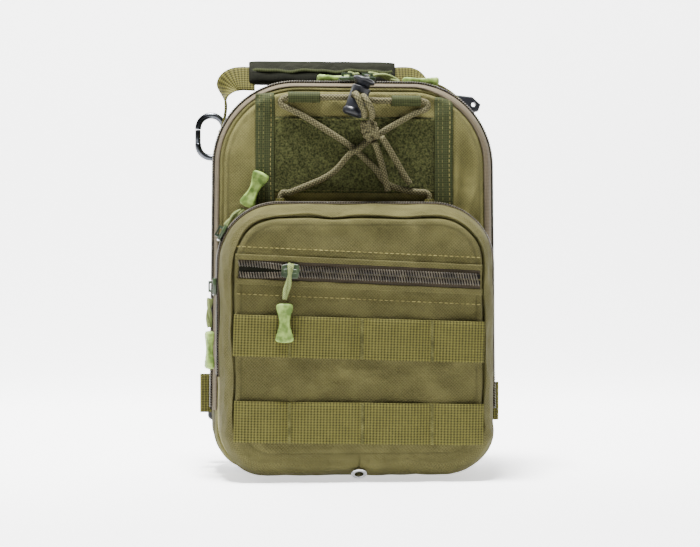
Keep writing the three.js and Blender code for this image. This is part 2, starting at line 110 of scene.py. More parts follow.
class Outline:
    """A rounded wall outline in the XZ plane, followed once round from the middle of its bottom."""

    def __init__(self, half_width, bottom, top, bottom_radius, top_radius, taper=0.0):
        self.taper = taper / top
        x, z0, z1, r0, r1 = half_width, bottom, top, bottom_radius, top_radius
        corners = ((x - r0, z0 + r0, r0), (x - r1, z1 - r1, r1), (r1 - x, z1 - r1, r1), (r0 - x, z0 + r0, r0))
        self.pieces = []
        start = middle_bottom = (0, z0)
        for turns, (*centre, radius) in enumerate(corners):
            long, arc = self.arc(centre, radius, 90 * turns - 90)
            self.pieces += [self.line(start, arc(0)[0]), (long, arc)]
            start = arc(1)[0]
        self.pieces.append(self.line(start, middle_bottom))
        self.length = sum(long for long, _ in self.pieces)

    @staticmethod
    def line(start, end):
        start, end = np.array(start), np.array(end)
        long = dist(start, end)
        along = (end - start) / long
        return long, lambda t: (start + (end - start) * t, np.array([along[1], -along[0]]))

    @staticmethod
    def arc(centre, radius, start):
        def at(t):
            angle = radians(start + 90 * t)
            normal = np.array([cos(angle), sin(angle)])
            return np.array(centre) + radius * normal, normal

        return radius * pi / 2, at

    def at(self, distance):
        """The point and the outward normal at a distance along the outline."""
        for long, piece in self.pieces[:-1]:
            if distance <= long:
                break
            distance -= long
        else:
            long, piece = self.pieces[-1]
        (x, z), normal = piece(min(distance / long, 1.0))
        return np.array([x * (1 - self.taper * z), z]), normal

    def sample(self, places):
        found = [self.at(place) for place in places]
        return np.array([p for p, _ in found]), np.array([n for _, n in found])

    def above(self, height):
        """The distances along the outline where it climbs past a height and comes back down to it."""
        side = self.pieces[0][0] + self.pieces[1][0]
        up = side + height - self.at(side)[0][1]
        return up, self.length - up


wall = high("rear_shell")
body_line = Outline(wall[0] - 2.2 * MM, 1.6 * MM, wall[2] - 0.4 * MM, 26 * MM, 51 * MM, taper=0.028)
pocket_low, pocket_high = low("pocket_lower"), high("pocket_flap")
pocket_line = Outline(pocket_high[0], pocket_low[2], pocket_high[2], 30 * MM, 36 * MM)
PANEL_Y = low("front_panel")[1]
ZIP_Y = (low("rear_shell")[1] + high("front_panel")[1]) / 2
BACK_Y = wall[1]
FACE_Y = pocket_low[1]
SEAM_Y = (pocket_high[1] + low("pocket_base")[1]) / 2


# ---- noise ----


def noise(points, size, seed):
    """Smooth noise from -1 to 1 at points (..., 2 or 3), with bumps about size across."""
    lattice = np.random.default_rng(seed).uniform(-1, 1, (32, 32, 32))
    p = np.zeros((*points.shape[:-1], 3))
    p[..., : points.shape[-1]] = points / size
    cell = np.floor(p).astype(int)
    f = p - cell
    f = f * f * (3 - 2 * f)
    total = np.zeros(p.shape[:-1])
    for corner in np.ndindex(2, 2, 2):
        i, j, k = np.moveaxis((cell + corner) % 32, -1, 0)
        weight = np.prod([f[..., a] if corner[a] else 1 - f[..., a] for a in range(3)], axis=0)
        total += weight * lattice[i, j, k]
    return total


def ease(t):
    """Rises smoothly from 0 to 1 as t does, and stays there."""
    t = np.clip(t, 0, 1)
    return t * t * (3 - 2 * t)


def folds(points, size, seed, stretch):
    """Cloth folds from 0 to 1: soft ridges with sharper valleys, stretched along one direction."""
    p = points / np.array(stretch)
    bend = 0.6 * noise(p, size * 1.7, seed + 1)
    return 1 - np.abs(noise(p + bend[..., None] * size, size, seed))


# ---- lines ----


def stack(*values):
    """One array of points from their coordinates, each an array or one value for all."""
    return np.stack(np.broadcast_arrays(*values), axis=-1)


def distances(line):
    """How far along a line each of its points lies."""
    return np.concatenate([[0], np.cumsum(np.linalg.norm(np.diff(line, axis=0), axis=1))])


def interpolated(places, far, line):
    """The points at some places on a line whose own points lie at the distances far."""
    return stack(*(np.interp(places, far, values) for values in line.T))


def evenly(line, step):
    """The same line with its points evenly spaced."""
    far = distances(line)
    places = np.linspace(0, far[-1], max(int(round(far[-1] / step)), 2) + 1)
    return interpolated(places, far, line)


def smooth_path(points, step):
    """A Catmull-Rom curve through points, with a point about every step."""
    p = np.vstack([2 * points[0] - points[1], points, 2 * points[-1] - points[-2]])
    line = []
    for a, b, c, d in zip(p, p[1:], p[2:], p[3:]):
        count = max(int(np.linalg.norm(c - b) / step), 1) * 4
        t = np.linspace(0, 1, count, endpoint=False)[:, None]
        curve = 2 * b + (c - a) * t + (2 * a - 5 * b + 4 * c - d) * t**2
        line.append((curve + (3 * b - a - 3 * c + d) * t**3) / 2)
    return evenly(np.vstack([*line, p[-2]]), step)


def unit(v):
    return v / np.maximum(np.linalg.norm(v, axis=-1, keepdims=True), 1e-12)


def frames(line, up):
    """Directions along, beside and out of a line, with out kept as near to up as it can be."""
    along = unit(np.gradient(line, axis=0))
    if np.ndim(up) == 1:
        out = np.zeros_like(line)
        last = np.asarray(up, float)
        for i, a in enumerate(along):
            last = unit(last - a * last.dot(a))
            out[i] = last
    else:
        out = unit(up - along * (up * along).sum(1, keepdims=True))
    return along, np.cross(along, out), out


def circle(radius, sides):
    angle = np.linspace(0, 2 * pi, sides, endpoint=False)
    return radius * stack(np.cos(angle), np.sin(angle))


def squared(values, power):
    """Sines or cosines pushed out towards a square corner."""
    return np.sign(values) * np.abs(values) ** power


def flat_section(width, thick):
    """A webbing's section: flat, with round edges."""
    angle = np.linspace(-pi / 2, pi / 2, 4)
    right = stack(np.cos(angle), np.sin(angle)) * thick / 2
    right[:, 0] += (width - thick) / 2
    across = np.linspace((width - thick) / 2, -(width - thick) / 2, 9)[1:-1]
    top = stack(across, thick / 2)
    return np.vstack([right, top, -right, -top])


# ---- meshes ----


def link(name, data):
    made = bpy.data.objects.new(name, data)
    bpy.context.collection.objects.link(made)
    return made


def make(name, points, faces, uv, material):
    """A smooth mesh object from arrays of points, faces and one uv for each point."""
    mesh = bpy.data.meshes.new(name)
    mesh.from_pydata(np.asarray(points, float).tolist(), [], [list(map(int, f)) for f in faces])
    if uv is not None:
        layer = mesh.uv_layers.new(name="UVMap")
        corner = np.zeros(len(mesh.loops), int)
        mesh.loops.foreach_get("vertex_index", corner)
        layer.data.foreach_set("uv", uv[corner].ravel())
    mesh.polygons.foreach_set("use_smooth", [True] * len(mesh.polygons))
    mesh.materials.append(material)
    return link(name, mesh)


def grid_faces(rows, columns):
    """Quads joining a grid of points, row by row."""
    i, j = np.meshgrid(np.arange(rows - 1), np.arange(columns - 1), indexing="ij")
    a = (i * columns + j).ravel()
    return stack(a, a + 1, a + columns + 1, a + columns)


def tube_faces(rows, columns):
    """Quads joining rings of points into a tube, ring by ring."""
    i, j = np.meshgrid(np.arange(rows - 1), np.arange(columns), indexing="ij")
    a, b = (i * columns + j).ravel(), (i * columns + (j + 1) % columns).ravel()
    return stack(a, b, b + columns, a + columns)


def end_faces(last, count):
    """The two faces that close a tube whose last ring starts at a point's number."""
    return [list(range(count - 1, -1, -1)), list(range(last, last + count))]


def weld(made, distance=1e-6):
    """Joins points that lie on each other, and turns all faces outwards."""
    work = bmesh.new()
    work.from_mesh(made.data)
    bmesh.ops.remove_doubles(work, verts=work.verts, dist=distance)
    bmesh.ops.recalc_face_normals(work, faces=work.faces)
    work.to_mesh(made.data)
    work.free()
    return made


def sheet(name, rows, uv, material, distance=1e-6):
    """A cloth from rows of points and their uvs."""
    faces = grid_faces(len(rows), len(rows[0]))
    return weld(make(name, np.vstack(rows), faces, np.vstack(uv), material), distance)


def apply(made):
    """Makes an object's modifiers part of its mesh."""
    graph = bpy.context.evaluated_depsgraph_get()
    final = bpy.data.meshes.new_from_object(made.evaluated_get(graph))
    made.modifiers.clear()
    made.data = final
    return made


def thicken(made, thickness, offset=-1):
    solid = made.modifiers.new("thickness", "SOLIDIFY")
    solid.thickness = thickness
    solid.offset = offset
    return apply(made)


def round_edges(made, width, segments=3):
    bevel = made.modifiers.new("rounding", "BEVEL")
    bevel.width = width
    bevel.segments = segments
    bevel.limit_method = "ANGLE"
    bevel.angle_limit = radians(35)
    return apply(made)


def joined(name, pieces):
    """One object from several, with its materials kept."""
    work = bmesh.new()
    materials = []
    for piece in pieces:
        first = len(work.faces)
        work.from_mesh(piece.data)
        work.faces.ensure_lookup_table()
        own = list(piece.data.materials)
        materials += [material for material in own if material not in materials]
        for face in work.faces[first:]:
            face.material_index = materials.index(own[face.material_index])
        bpy.data.objects.remove(piece)
    mesh = bpy.data.meshes.new(name)
    work.to_mesh(mesh)
    work.free()
    for material in materials:
        mesh.materials.append(material)
    return link(name, mesh)


def sweep(name, line, section, up, material, caps=True, swell=None):
    """A closed section (n, 2: beside, out) carried along a line. swell scales it at each point."""
    _, beside, out = frames(line, up)
    scale = np.ones(len(line)) if swell is None else swell
    ring = np.vstack([section, section[:1]])
    aside = scale[:, None, None] * ring[None, :, :1] * beside[:, None]
    rise = scale[:, None, None] * ring[None, :, 1:] * out[:, None]
    uv = stack(distances(line)[:, None], distances(ring))
    columns = len(ring)
    faces = grid_faces(len(line), columns).tolist()
    if caps:
        faces += end_faces((len(line) - 1) * columns, columns - 1)
    points = (line[:, None] + aside + rise).reshape(-1, 3)
    return weld(make(name, points, faces, uv.reshape(-1, 2), material))


def lathe(name, profile, material, sides):
    """A profile of (radius, height) turned about Z."""
    r, z = np.transpose(profile)[..., None]
    angle = np.linspace(0, 2 * pi, sides + 1)
    rings = stack(r * np.cos(angle), r * np.sin(angle), z)
    return weld(make(name, rings.reshape(-1, 3), grid_faces(len(profile), sides + 1), None, material))


def repeat(name, template, faces, places, material):
    """Many copies of a small template. places holds for each an origin and three axes."""
    points = np.vstack([origin + template @ np.array(axes) for origin, axes in places])
    every = np.vstack([faces + i * len(template) for i in range(len(places))])
    return make(name, points, every, None, material)


def stitch_shape(long, thick):
    """A short raised thread along X, standing a little out of the cloth along Z."""
    ring = circle(1, 6)
    swell = ((-1, 0.25), (-0.6, 0.95), (0, 1.1), (0.6, 0.95), (1, 0.25))
    rings = [stack(x * long / 2, *(ring * r * thick).T) for x, r in swell]
    return np.vstack(rings), tube_faces(5, 6)


def stitches(name, line, up, material, body, long=2.4 * MM, space=0.9 * MM, thick=0.24 * MM):
    """A row of stitches along a line."""
    line = evenly(line, long + space)
    places = [(point, axes) for point, *axes in zip(line, *frames(line, up))]
    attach(repeat(name, *stitch_shape(long, thick), places, material), body)


def coil(name, line, beside, out, phase):
    """A zipper's nylon coil: a flattened helix of thread along a line, over its core."""
    pitch, wide, deep, thread_radius, steps = 1.6 * MM, 1.6 * MM, 0.7 * MM, 0.4 * MM, 12
    far = distances(line)
    turns = int(far[-1] / pitch)
    places = np.linspace(0, turns * pitch, turns * steps + 1)
    angle = places / pitch * 2 * pi + phase

    helix = interpolated(places, far, line)
    helix += wide * np.cos(angle)[:, None] * unit(interpolated(places, far, beside))
    helix += deep * np.sin(angle)[:, None] * unit(interpolated(places, far, out))
    threads = sweep(name, helix, circle(thread_radius, 6), (0, 0, 1), coil_nylon, caps=False)
    # The near-black core shows between the teeth as painted shade.
    core = sweep(name + "_core", line, flat_section(2 * wide - 0.5 * MM, 1 * MM), out, coil_core)
    return joined(name, [threads, core])


# ---- materials ----


class Look:
    """A node material, written as short calls."""

    def __init__(self, name, roughness, metallic=0.0, coat=0.0):
        self.material = bpy.data.materials.new(name)
        self.material.use_nodes = True
        self.tree = self.material.node_tree
        self.inputs = self.tree.nodes["Principled BSDF"].inputs
        self.inputs["Roughness"].default_value = roughness
        self.inputs["Metallic"].default_value = metallic
        self.inputs["Coat Weight"].default_value = coat
        self.inputs["Specular IOR Level"].default_value = 0.5 if metallic else 0.3 if coat else 0.1

    def node(self, kind, **sockets):
        made = self.tree.nodes.new(kind)
        for key, value in sockets.items():
            self.feed(made.inputs[key.replace("_", " ")], value)
        return made

    def feed(self, socket, value):
        if isinstance(value, bpy.types.NodeSocket):
            self.tree.links.new(value, socket)
        else:
            socket.default_value = value

    def math(self, kind, *values):
        made = self.tree.nodes.new("ShaderNodeMath")
        made.operation = kind
        for socket, value in zip(made.inputs, values):
            self.feed(socket, value)
        return made.outputs[0]

    def times(self, a, b):
        return self.math("MULTIPLY", a, b)

    def wave(self, value, pitch):
        return self.math("SINE", self.times(value, 2 * pi / pitch))

    def coordinates(self, kind):
        where = self.tree.nodes.new("ShaderNodeTexCoord").outputs[kind]
        split = self.node("ShaderNodeSeparateXYZ", Vector=where)
        return split.outputs["X"], split.outputs["Y"]

    def noise(self, size, detail):
        where = self.tree.nodes.new("ShaderNodeTexCoord").outputs["Object"]
        return self.node("ShaderNodeTexNoise", Vector=where, Scale=1 / size, Detail=detail).outputs["Fac"]

    def mix(self, factor, a, b):
        made = self.tree.nodes.new("ShaderNodeMix")
        made.data_type = "RGBA"
        self.feed(made.inputs[0], factor)
        self.feed(made.inputs[6], a)
        self.feed(made.inputs[7], b)
        return made.outputs[2]

    def ramp(self, value, start, end):
        return self.node("ShaderNodeMapRange", Value=value, From_Min=start, From_Max=end).outputs["Result"]

    def bump(self, height, distance, strength, under=None):
        made = self.node("ShaderNodeBump", Height=height, Distance=distance, Strength=strength)
        if under:
            self.feed(made.inputs["Normal"], under)
        return made.outputs["Normal"]

    def done(self, color, normal=None):
        self.feed(self.inputs["Base Color"], color)
        if normal:
            self.feed(self.inputs["Normal"], normal)
        return self.material

    def shaded(self, share, dark, light, height, depth, strength):
        """The look finished: a share of light over dark, on a height of at most depth."""
        return self.done(self.mix(share, rgb(dark), rgb(light)), self.bump(height, depth, strength))


def rgb(text, gain=1.0):
    """A linear colour from a hex value."""
    parts = [int(text[i : i + 2], 16) / 255 for i in (0, 2, 4)]
    return (*(gain * (c / 12.92 if c < 0.04045 else ((c + 0.055) / 1.055) ** 2.4) for c in parts), 1)


def woven(name, light, dark, pitch, depth=0.25 * MM, fade=0.25):
    """A coarse weave with a diagonal grain, worn a little lighter in patches."""
    look = Look(name, 0.86)
    u, v = look.coordinates("UV")
    over = look.times(look.wave(u, 2 * pitch), look.wave(v, 2 * pitch))
    warp, weft = look.times(look.wave(u, pitch), over), look.times(look.wave(v, pitch), over)
    grain = look.wave(look.math("SUBTRACT", u, v), 1.6 * pitch)
    height = look.math("MULTIPLY_ADD", grain, 0.35, look.math("MAXIMUM", warp, weft))
    fleck = look.times(look.noise(0.9 * MM, 1.0), 0.35)
    shade = look.math("MULTIPLY_ADD", look.ramp(height, -1.1, 1.1), 0.62, fleck)
    wear = look.times(look.ramp(look.noise(18 * MM, 3.0), 0.45, 0.75), fade)
    worn = look.mix(wear, look.mix(shade, rgb(dark), rgb(light)), rgb(light, 1.35))
    crumple = look.bump(look.noise(15 * MM, 3.5), 6 * MM, 0.6)
    return look.done(worn, look.bump(height, depth, 0.7, crumple))


def ribbed(name, light, dark, rib, cross, depth):
    """Webbing: ribs along its length crossed by finer picks."""
    look = Look(name, 0.75)
    u, v = look.coordinates("UV")
    ribs = look.math("ABSOLUTE", look.wave(v, 2 * rib))
    picks = look.ramp(look.wave(u, cross), -1, 1)
    height = look.math("ADD", look.times(ribs, 0.5), look.times(picks, 0.6))
    drift = look.times(look.noise(9 * MM, 3.0), 0.25)
    shade = look.math("MULTIPLY_ADD", look.ramp(height, 0.1, 1.0), 0.9, drift)
    return look.shaded(shade, dark, light, height, depth, 0.8)


def slanted(look, pitch):
    """Two sets of strands that cross on a slant."""
    u, v = look.coordinates("UV")
    return look.times(look.wave(look.math("ADD", u, v), pitch), look.wave(look.math("SUBTRACT", u, v), pitch))


def braided(name, light, dark, turn):
    """Braided cord. turn is the spacing of its strands."""
    look = Look(name, 0.7)
    height = look.math("ABSOLUTE", slanted(look, turn))
    flecks = look.times(look.noise(1.4 * MM, 2.0), 0.3)
    shade = look.math("MULTIPLY_ADD", height, 0.8, flecks)
    return look.shaded(shade, dark, light, height, 0.35 * MM, 0.8)


def pile(name, light, dark):
    """Fuzzy loop pile: clumps of fine curled fibre."""
    look = Look(name, 0.95)
    fine, clump = look.noise(1.1 * MM, 6.0), look.noise(5 * MM, 3.0)
    shade = look.math("ADD", look.ramp(fine, 0.35, 0.7), look.times(clump, 0.3))
    height = look.math("MULTIPLY_ADD", clump, 0.5, fine)
    return look.shaded(look.times(shade, 0.8), dark, light, height, 1.2 * MM, 0.9)


def netting(name, yarn, hole):
    """Spacer mesh: a knitted face with small holes."""
    look = Look(name, 0.85)
    holes = look.ramp(slanted(look, 1.7 * MM), 0.15, 0.5)
    return look.shaded(holes, yarn, hole, look.math("SUBTRACT", 1.0, holes), 0.4 * MM, 1.0)


def moulded(name, light, dark, roughness, coat=0.0, metallic=0.0):
    """Moulded or plated surface: slight colour drift and a fine uneven finish."""
    look = Look(name, roughness, metallic, coat)
    drift = look.ramp(look.noise(5 * MM, 3.0), 0.35, 0.65)
    grain = look.noise(0.7 * MM, 3.0)
    look.feed(look.inputs["Roughness"], look.math("MULTIPLY_ADD", grain, 0.18, roughness - 0.06))
    return look.shaded(drift, dark, light, grain, 0.03 * MM, 0.6)


cloth = woven("pack_cloth", "595532", "131207", 1.1 * MM)
# The upper panel's cloth is a lighter copy of the pack cloth: painted light, for the brighter light that the
# upper panel catches.
painted_light_panel_cloth = woven("painted_light_panel_cloth", "6d693f", "1d1b0c", 1.1 * MM)
# The gusset's cloth is a lighter copy of the pack cloth: painted light, for the strip round the pocket that
# faces the top and side lights.
painted_light_gusset_cloth = woven("painted_light_gusset_cloth", "7d784f", "2c2917", 1.25 * MM, fade=0.5)
dark_cloth = woven("rear_cloth", "4a472c", "19170d", 1.0 * MM, 0.2 * MM)
handle_cloth = woven("handle_cloth", "1d1e14", "090a05", 0.9 * MM, 0.15 * MM)
webbing = ribbed("webbing", "555227", "0c0c04", 1.6 * MM, 1.9 * MM, 0.4 * MM)
trim_tape = ribbed("trim_tape", "363b20", "0c0e05", 1.3 * MM, 1.1 * MM, 0.2 * MM)
zip_tape = ribbed("zip_tape", "5f5645", "2f2a21", 0.9 * MM, 0.9 * MM, 0.12 * MM)
face_tape = ribbed("face_tape", "3b3429", "1d1913", 0.9 * MM, 0.9 * MM, 0.12 * MM)
fuzz = pile("loop_pile", "4f5230", "131508")
mesh_cloth = netting("spacer_mesh", "17180f", "040403")
cord_braid = braided("cord_braid", "6c6749", "080705", 4.2 * MM)
pull_braid = braided("pull_braid", "8f9a62", "39421f", 2.3 * MM)
coil_nylon = moulded("coil_nylon", "4b4537", "2c2820", 0.4, coat=0.1)
# The core cord is real, but its near-black colour is painted shade for the gaps between the coil's teeth.
coil_core = moulded("coil_core", "16130f", "0a0907", 0.8)
thread = moulded("thread", "827a49", "5c5530", 0.7)
dark_thread = moulded("dark_thread", "5f5d35", "3f3e22", 0.75)
rubber = moulded("pull_rubber", "869c52", "4c602c", 0.5)
enamel = moulded("slider_enamel", "35442a", "1c2716", 0.3, coat=0.5)
plastic = moulded("black_plastic", "14161c", "090a0e", 0.42, coat=0.06)
gunmetal = moulded("gunmetal", "55575c", "303236", 0.22, metallic=1.0)
silver = moulded("eyelet_silver", "c9cacc", "9a9b9e", 0.2, metallic=1.0)


# ---- cloth surfaces ----


def pocket_face_y(x, z):
    """Where the pocket's face cloth lies: a shallow crown that sags towards the bottom."""
    p = stack(x, z)
    side = np.clip(1 - (x / (76 * MM)) ** 2, 0, 1)
    height = np.clip((z - 8 * MM) / (152 * MM), 0, 1)
    crown = 1.5 * MM * np.sqrt(side) * (0.35 + 0.65 * np.sin(pi * height ** 0.7))
    slack = 1.7 + 2.4 * ease((24 * MM - z) / (14 * MM)) + 0.8 * ease((np.abs(x) - 62 * MM) / (12 * MM))
    crease = slack * MM * (folds(p, 30 * MM, 5, (1.5, 0.9)) - 0.62)
    return FACE_Y - crown - crease - 0.5 * MM * noise(p, 10 * MM, 8)


def panel_face_y(x, z):
    """Where the upper panel's cloth lies, slack between the stiff tapes and the zipper."""
    slack = ease((np.abs(x) - 58 * MM) / (12 * MM)) * np.where(x > 0, 1.0, 0.35)
    slack = np.maximum(slack, 0.5 * ease((z - 222 * MM) / (8 * MM)))
    crease = folds(stack(x, z), 19 * MM, 21, (0.6, 2.0)) - 0.55
    return PANEL_Y - MM * (0.4 + 6.2 * slack * crease)


def before(y, pairs):
    """A profile of (inset or offset, Y), from the same and the depths in front of y in millimetres."""
    return [(across * MM, y - depth * MM) for across, depth in pairs]


SAG_FROM = 24 * MM  # how high above the base the pocket's cloth sags fully
SAG_FADE = 14 * MM  # the height over which the sag fades out


def shell(name, line, profile, face, material, puckers, soft=None):
    """A sewn shell: a profile of (inset, y) round an outline, closed by a face at face(x, z).
    soft is its profile along the bottom, where that differs."""
    samples, rings = 480, 60
    far = np.linspace(0, line.length, samples + 1)
    edge, normal = line.sample(far)
    sag = 1 - ease((edge[:, 1] - SAG_FROM) / SAG_FADE)
    rows, uv = [], []
    for k, (upper, lower, run) in enumerate(zip(profile, soft or profile, distances(profile))):
        inset, y = (a + (b - a) * sag for a, b in zip(upper, lower))
        swing = noise(stack(far, 7.0 * upper[1]), 14 * MM, 3)
        swing = swing + 0.5 * np.sin(far / (6.5 * MM))
        free = sin(pi * k / (len(profile) - 1))
        p = edge - normal * (inset - puckers * swing * free)[:, None]
        rows.append(stack(p[:, 0], y, p[:, 1]))
        uv.append(stack(far, run))
    rim = rows[-1]
    centre = np.array([0, (rim[:, 2].max() + rim[:, 2].min()) / 2])
    for k in range(1, rings + 1):
        p = centre + (rim[:, ::2] - centre) * max(1 - k / rings, 1e-4)
        near = min(k / 3, 1)
        y = rim[:, 1] * (1 - near) + face(p[:, 0], p[:, 1]) * near
        rows.append(stack(p[:, 0], y, p[:, 1]))
        uv.append(p)
    return sheet(name, rows, uv, material, 5e-6)


def pocket_shell():
    """The pocket: a gusset that slopes in to the sewn edge of the face, and rolls under at the bottom."""
    gusset = [(-0.4, 0.6), (-0.6, 3), (-0.7, 6), (-0.5, 9), (0, 12), (0.8, 15), (1.8, 18), (3.1, 21),
              (4.4, 23.4), (5.6, 25.4), (6.6, 26.8)]
    seam = [(7.0, 27.2), (7.4, 26.2), (8, 22.8), (8.8, 26.6), (9.3, 28.1), (10.2, 29), (12, 29.4)]
    roll = [(-0.4, 0.6), (-0.5, 3), (-0.6, 6), (-0.6, 9), (-0.4, 12), (0, 15), (0.6, 18), (1.6, 21),
            (2.9, 23.6), (4.5, 25.6), (6.3, 27.1), (7.5, 27.8), (8.6, 28.3), (9.7, 28.7), (10.8, 29),
            (11.9, 29.2), (13, 29.4), (14, 29.5)]
    made = shell("pocket_shell_cloth", pocket_line, before(SEAM_Y, gusset + seam), pocket_face_y, cloth,
                 0.9 * MM, before(SEAM_Y, roll))
    take_over_bent(thicken(made, CLOTH), "pack_cloth", ("front", "flap"), (0, FACE_Y, 0.050),
                   (0, FACE_Y, 0.070), "pocket_flap", "pocket_lower")


def front_panel():
    """The upper panel, rounded back to the main zipper's tape."""
    profile = before(ZIP_Y, [(1.6, 0.15), (0.9, 1), (0.9, 3), (1.4, 5)])
    profile += before(PANEL_Y, [(2.4, -2.4), (4, -1.6), (4.8, -2.6), (5.3, -0.6), (7, 0.5)])
    # The upper panel takes the lighter copy of the pack cloth, painted light.
    made = shell("front_panel_cloth", body_line, profile, panel_face_y, painted_light_panel_cloth, 0.15 * MM)
    take_over(thicken(made, CLOTH), "pack_cloth", "front_panel")


def rear_shell():
    """The tub behind the main zipper: sides that bow out a little and a rounded back edge."""
    deep = BACK_Y - ZIP_Y - 9.2 * MM
    sides = [(0.6 * MM - 1.4 * MM * sin(pi * t), ZIP_Y + 0.2 * MM + t * deep)
             for t in np.linspace(0, 1, 14)]
    edge = [(0.8 * MM + 9 * MM * (1 - cos(a)), BACK_Y - 9 * MM + 8.6 * MM * sin(a))
            for a in np.linspace(0.15, 1.45, 8)]

    def back(x, z):
        return BACK_Y - 0.5 * MM + 0.5 * MM * noise(stack(x, z), 30 * MM, 40)

    made = shell("rear_shell_cloth", body_line, sides + edge, back, dark_cloth, 0.7 * MM)
    take_over(thicken(made, 1.6 * MM), "pack_cloth", "rear_shell")


def pocket_gusset():
    """The strip between the front panel and the pocket's zipper."""
    far = np.linspace(0, pocket_line.length, 421)
    edge, normal = pocket_line.sample(far)
    rows, uv = [], []
    for k, y in enumerate(np.linspace(SEAM_Y + 0.4 * MM, PANEL_Y + 0.2 * MM, 9)):
        bulge = 1.1 * MM * sin(pi * k / 8) + 0.5 * MM
        bulge = bulge + 0.45 * MM * noise(stack(far, 5 * y), 12 * MM, 61)
        p = edge + normal * bulge[:, None]
        rows.append(stack(p[:, 0], y, p[:, 1]))
        uv.append(stack(far, y))
    # The gusset takes the lighter copy of the pack cloth, painted light.
    made = sheet("pocket_gusset_cloth", rows, uv, painted_light_gusset_cloth)
    take_over(thicken(made, CLOTH), "pack_cloth", "pocket_base")


# ---- zippers ----

COIL_SIDE = 1.3 * MM  # from a curved zipper's seam to the middle of each coil
COIL_OUT = 1.9 * MM  # from the outline out to the middle of its coil
TAPE = 0.5 * MM  # thickness of the curved zippers' tape
ZIP_HALF = 73 * MM  # half the face zipper's length


def zip_half(name, line, end, y, tape, node, phase, left=1.0):
    """One half of a curved zipper: its coil on the outline and its tape, a profile of (offset, y).
    left is how much of the tape's width shows on the left and at the top."""
    points, normal = line.sample(np.arange(*line.above(end), STEP))
    at = np.insert(points, 1, y, axis=1)
    out = np.insert(normal, 1, 0, axis=1)
    teeth = coil(name + "_coil", at + out * COIL_OUT, np.tile(-FRONT, (len(points), 1)), out, phase)
    steps = np.arange(len(tape))
    offsets, depths = np.transpose(tape)
    show = left + (1 - left) * ease(normal[:, 0] / 0.7)
    rows, uv = [], []
    for k, run in enumerate(distances(tape)):
        p = points + normal * np.interp(k * show, steps, offsets)[:, None]
        rows.append(stack(p[:, 0], np.interp(k * show, steps, depths), p[:, 1]))
        uv.append(stack(np.arange(len(points)) * STEP, run * show))
    strip = thicken(sheet(name + "_tape", rows, uv, zip_tape), TAPE, 0)
    take_over(joined(name, [teeth, strip]), "zipper", node)


def curved_zippers():
    end = low("main_zip_front")[2]
    tape = before(ZIP_Y, [(0.6, 0.6), (0.9, 2.4), (0.3, 5)])
    tape += before(PANEL_Y, [(-0.9, -3.6), (-2.3, -1.2), (-3.7, -0.8), (-4.5, -1.5)])
    zip_half("main_zipper_front", body_line, end, ZIP_Y - COIL_SIDE, tape, "main_zip_front", 0, left=0.6)
    tape = before(ZIP_Y, [(0.4, -0.6), (0.9, -3), (1.3, -7)])
    zip_half("main_zipper_rear", body_line, end, ZIP_Y + COIL_SIDE, tape, "main_zip_rear", pi)
    end = low("pocket_zip_front")[2]
    tape = before(SEAM_Y, [(0.4, 0.6), (1.0, 2.5), (1.3, 5)])
    zip_half("pocket_zipper_front", pocket_line, end, SEAM_Y - COIL_SIDE, tape, "pocket_zip_front", 0)
    tape = before(SEAM_Y, [(0.4, -0.6), (1.0, -2.5), (1.3, -5)])
    zip_half("pocket_zipper_rear", pocket_line, end, SEAM_Y + COIL_SIDE, tape, "pocket_zip_rear", pi)


def tilted(node):
    """The centre height and the slope of a strip that runs across the pocket's face."""
    x, _, z = np.array([v.co for v in frame["nodes"][node].data.vertices]).T
    left, right = z[x < x.min() + 5 * MM].mean(), z[x > x.max() - 5 * MM].mean()
    return (left + right) / 2, (right - left) / (x.max() - x.min())


def face_line(height, slope, x0, x1, lift):
    """A line across the pocket's face, lifted off its cloth."""
    x = np.arange(x0, x1, STEP)
    z = height + slope * x
    return stack(x, pocket_face_y(x, z) - lift, z)


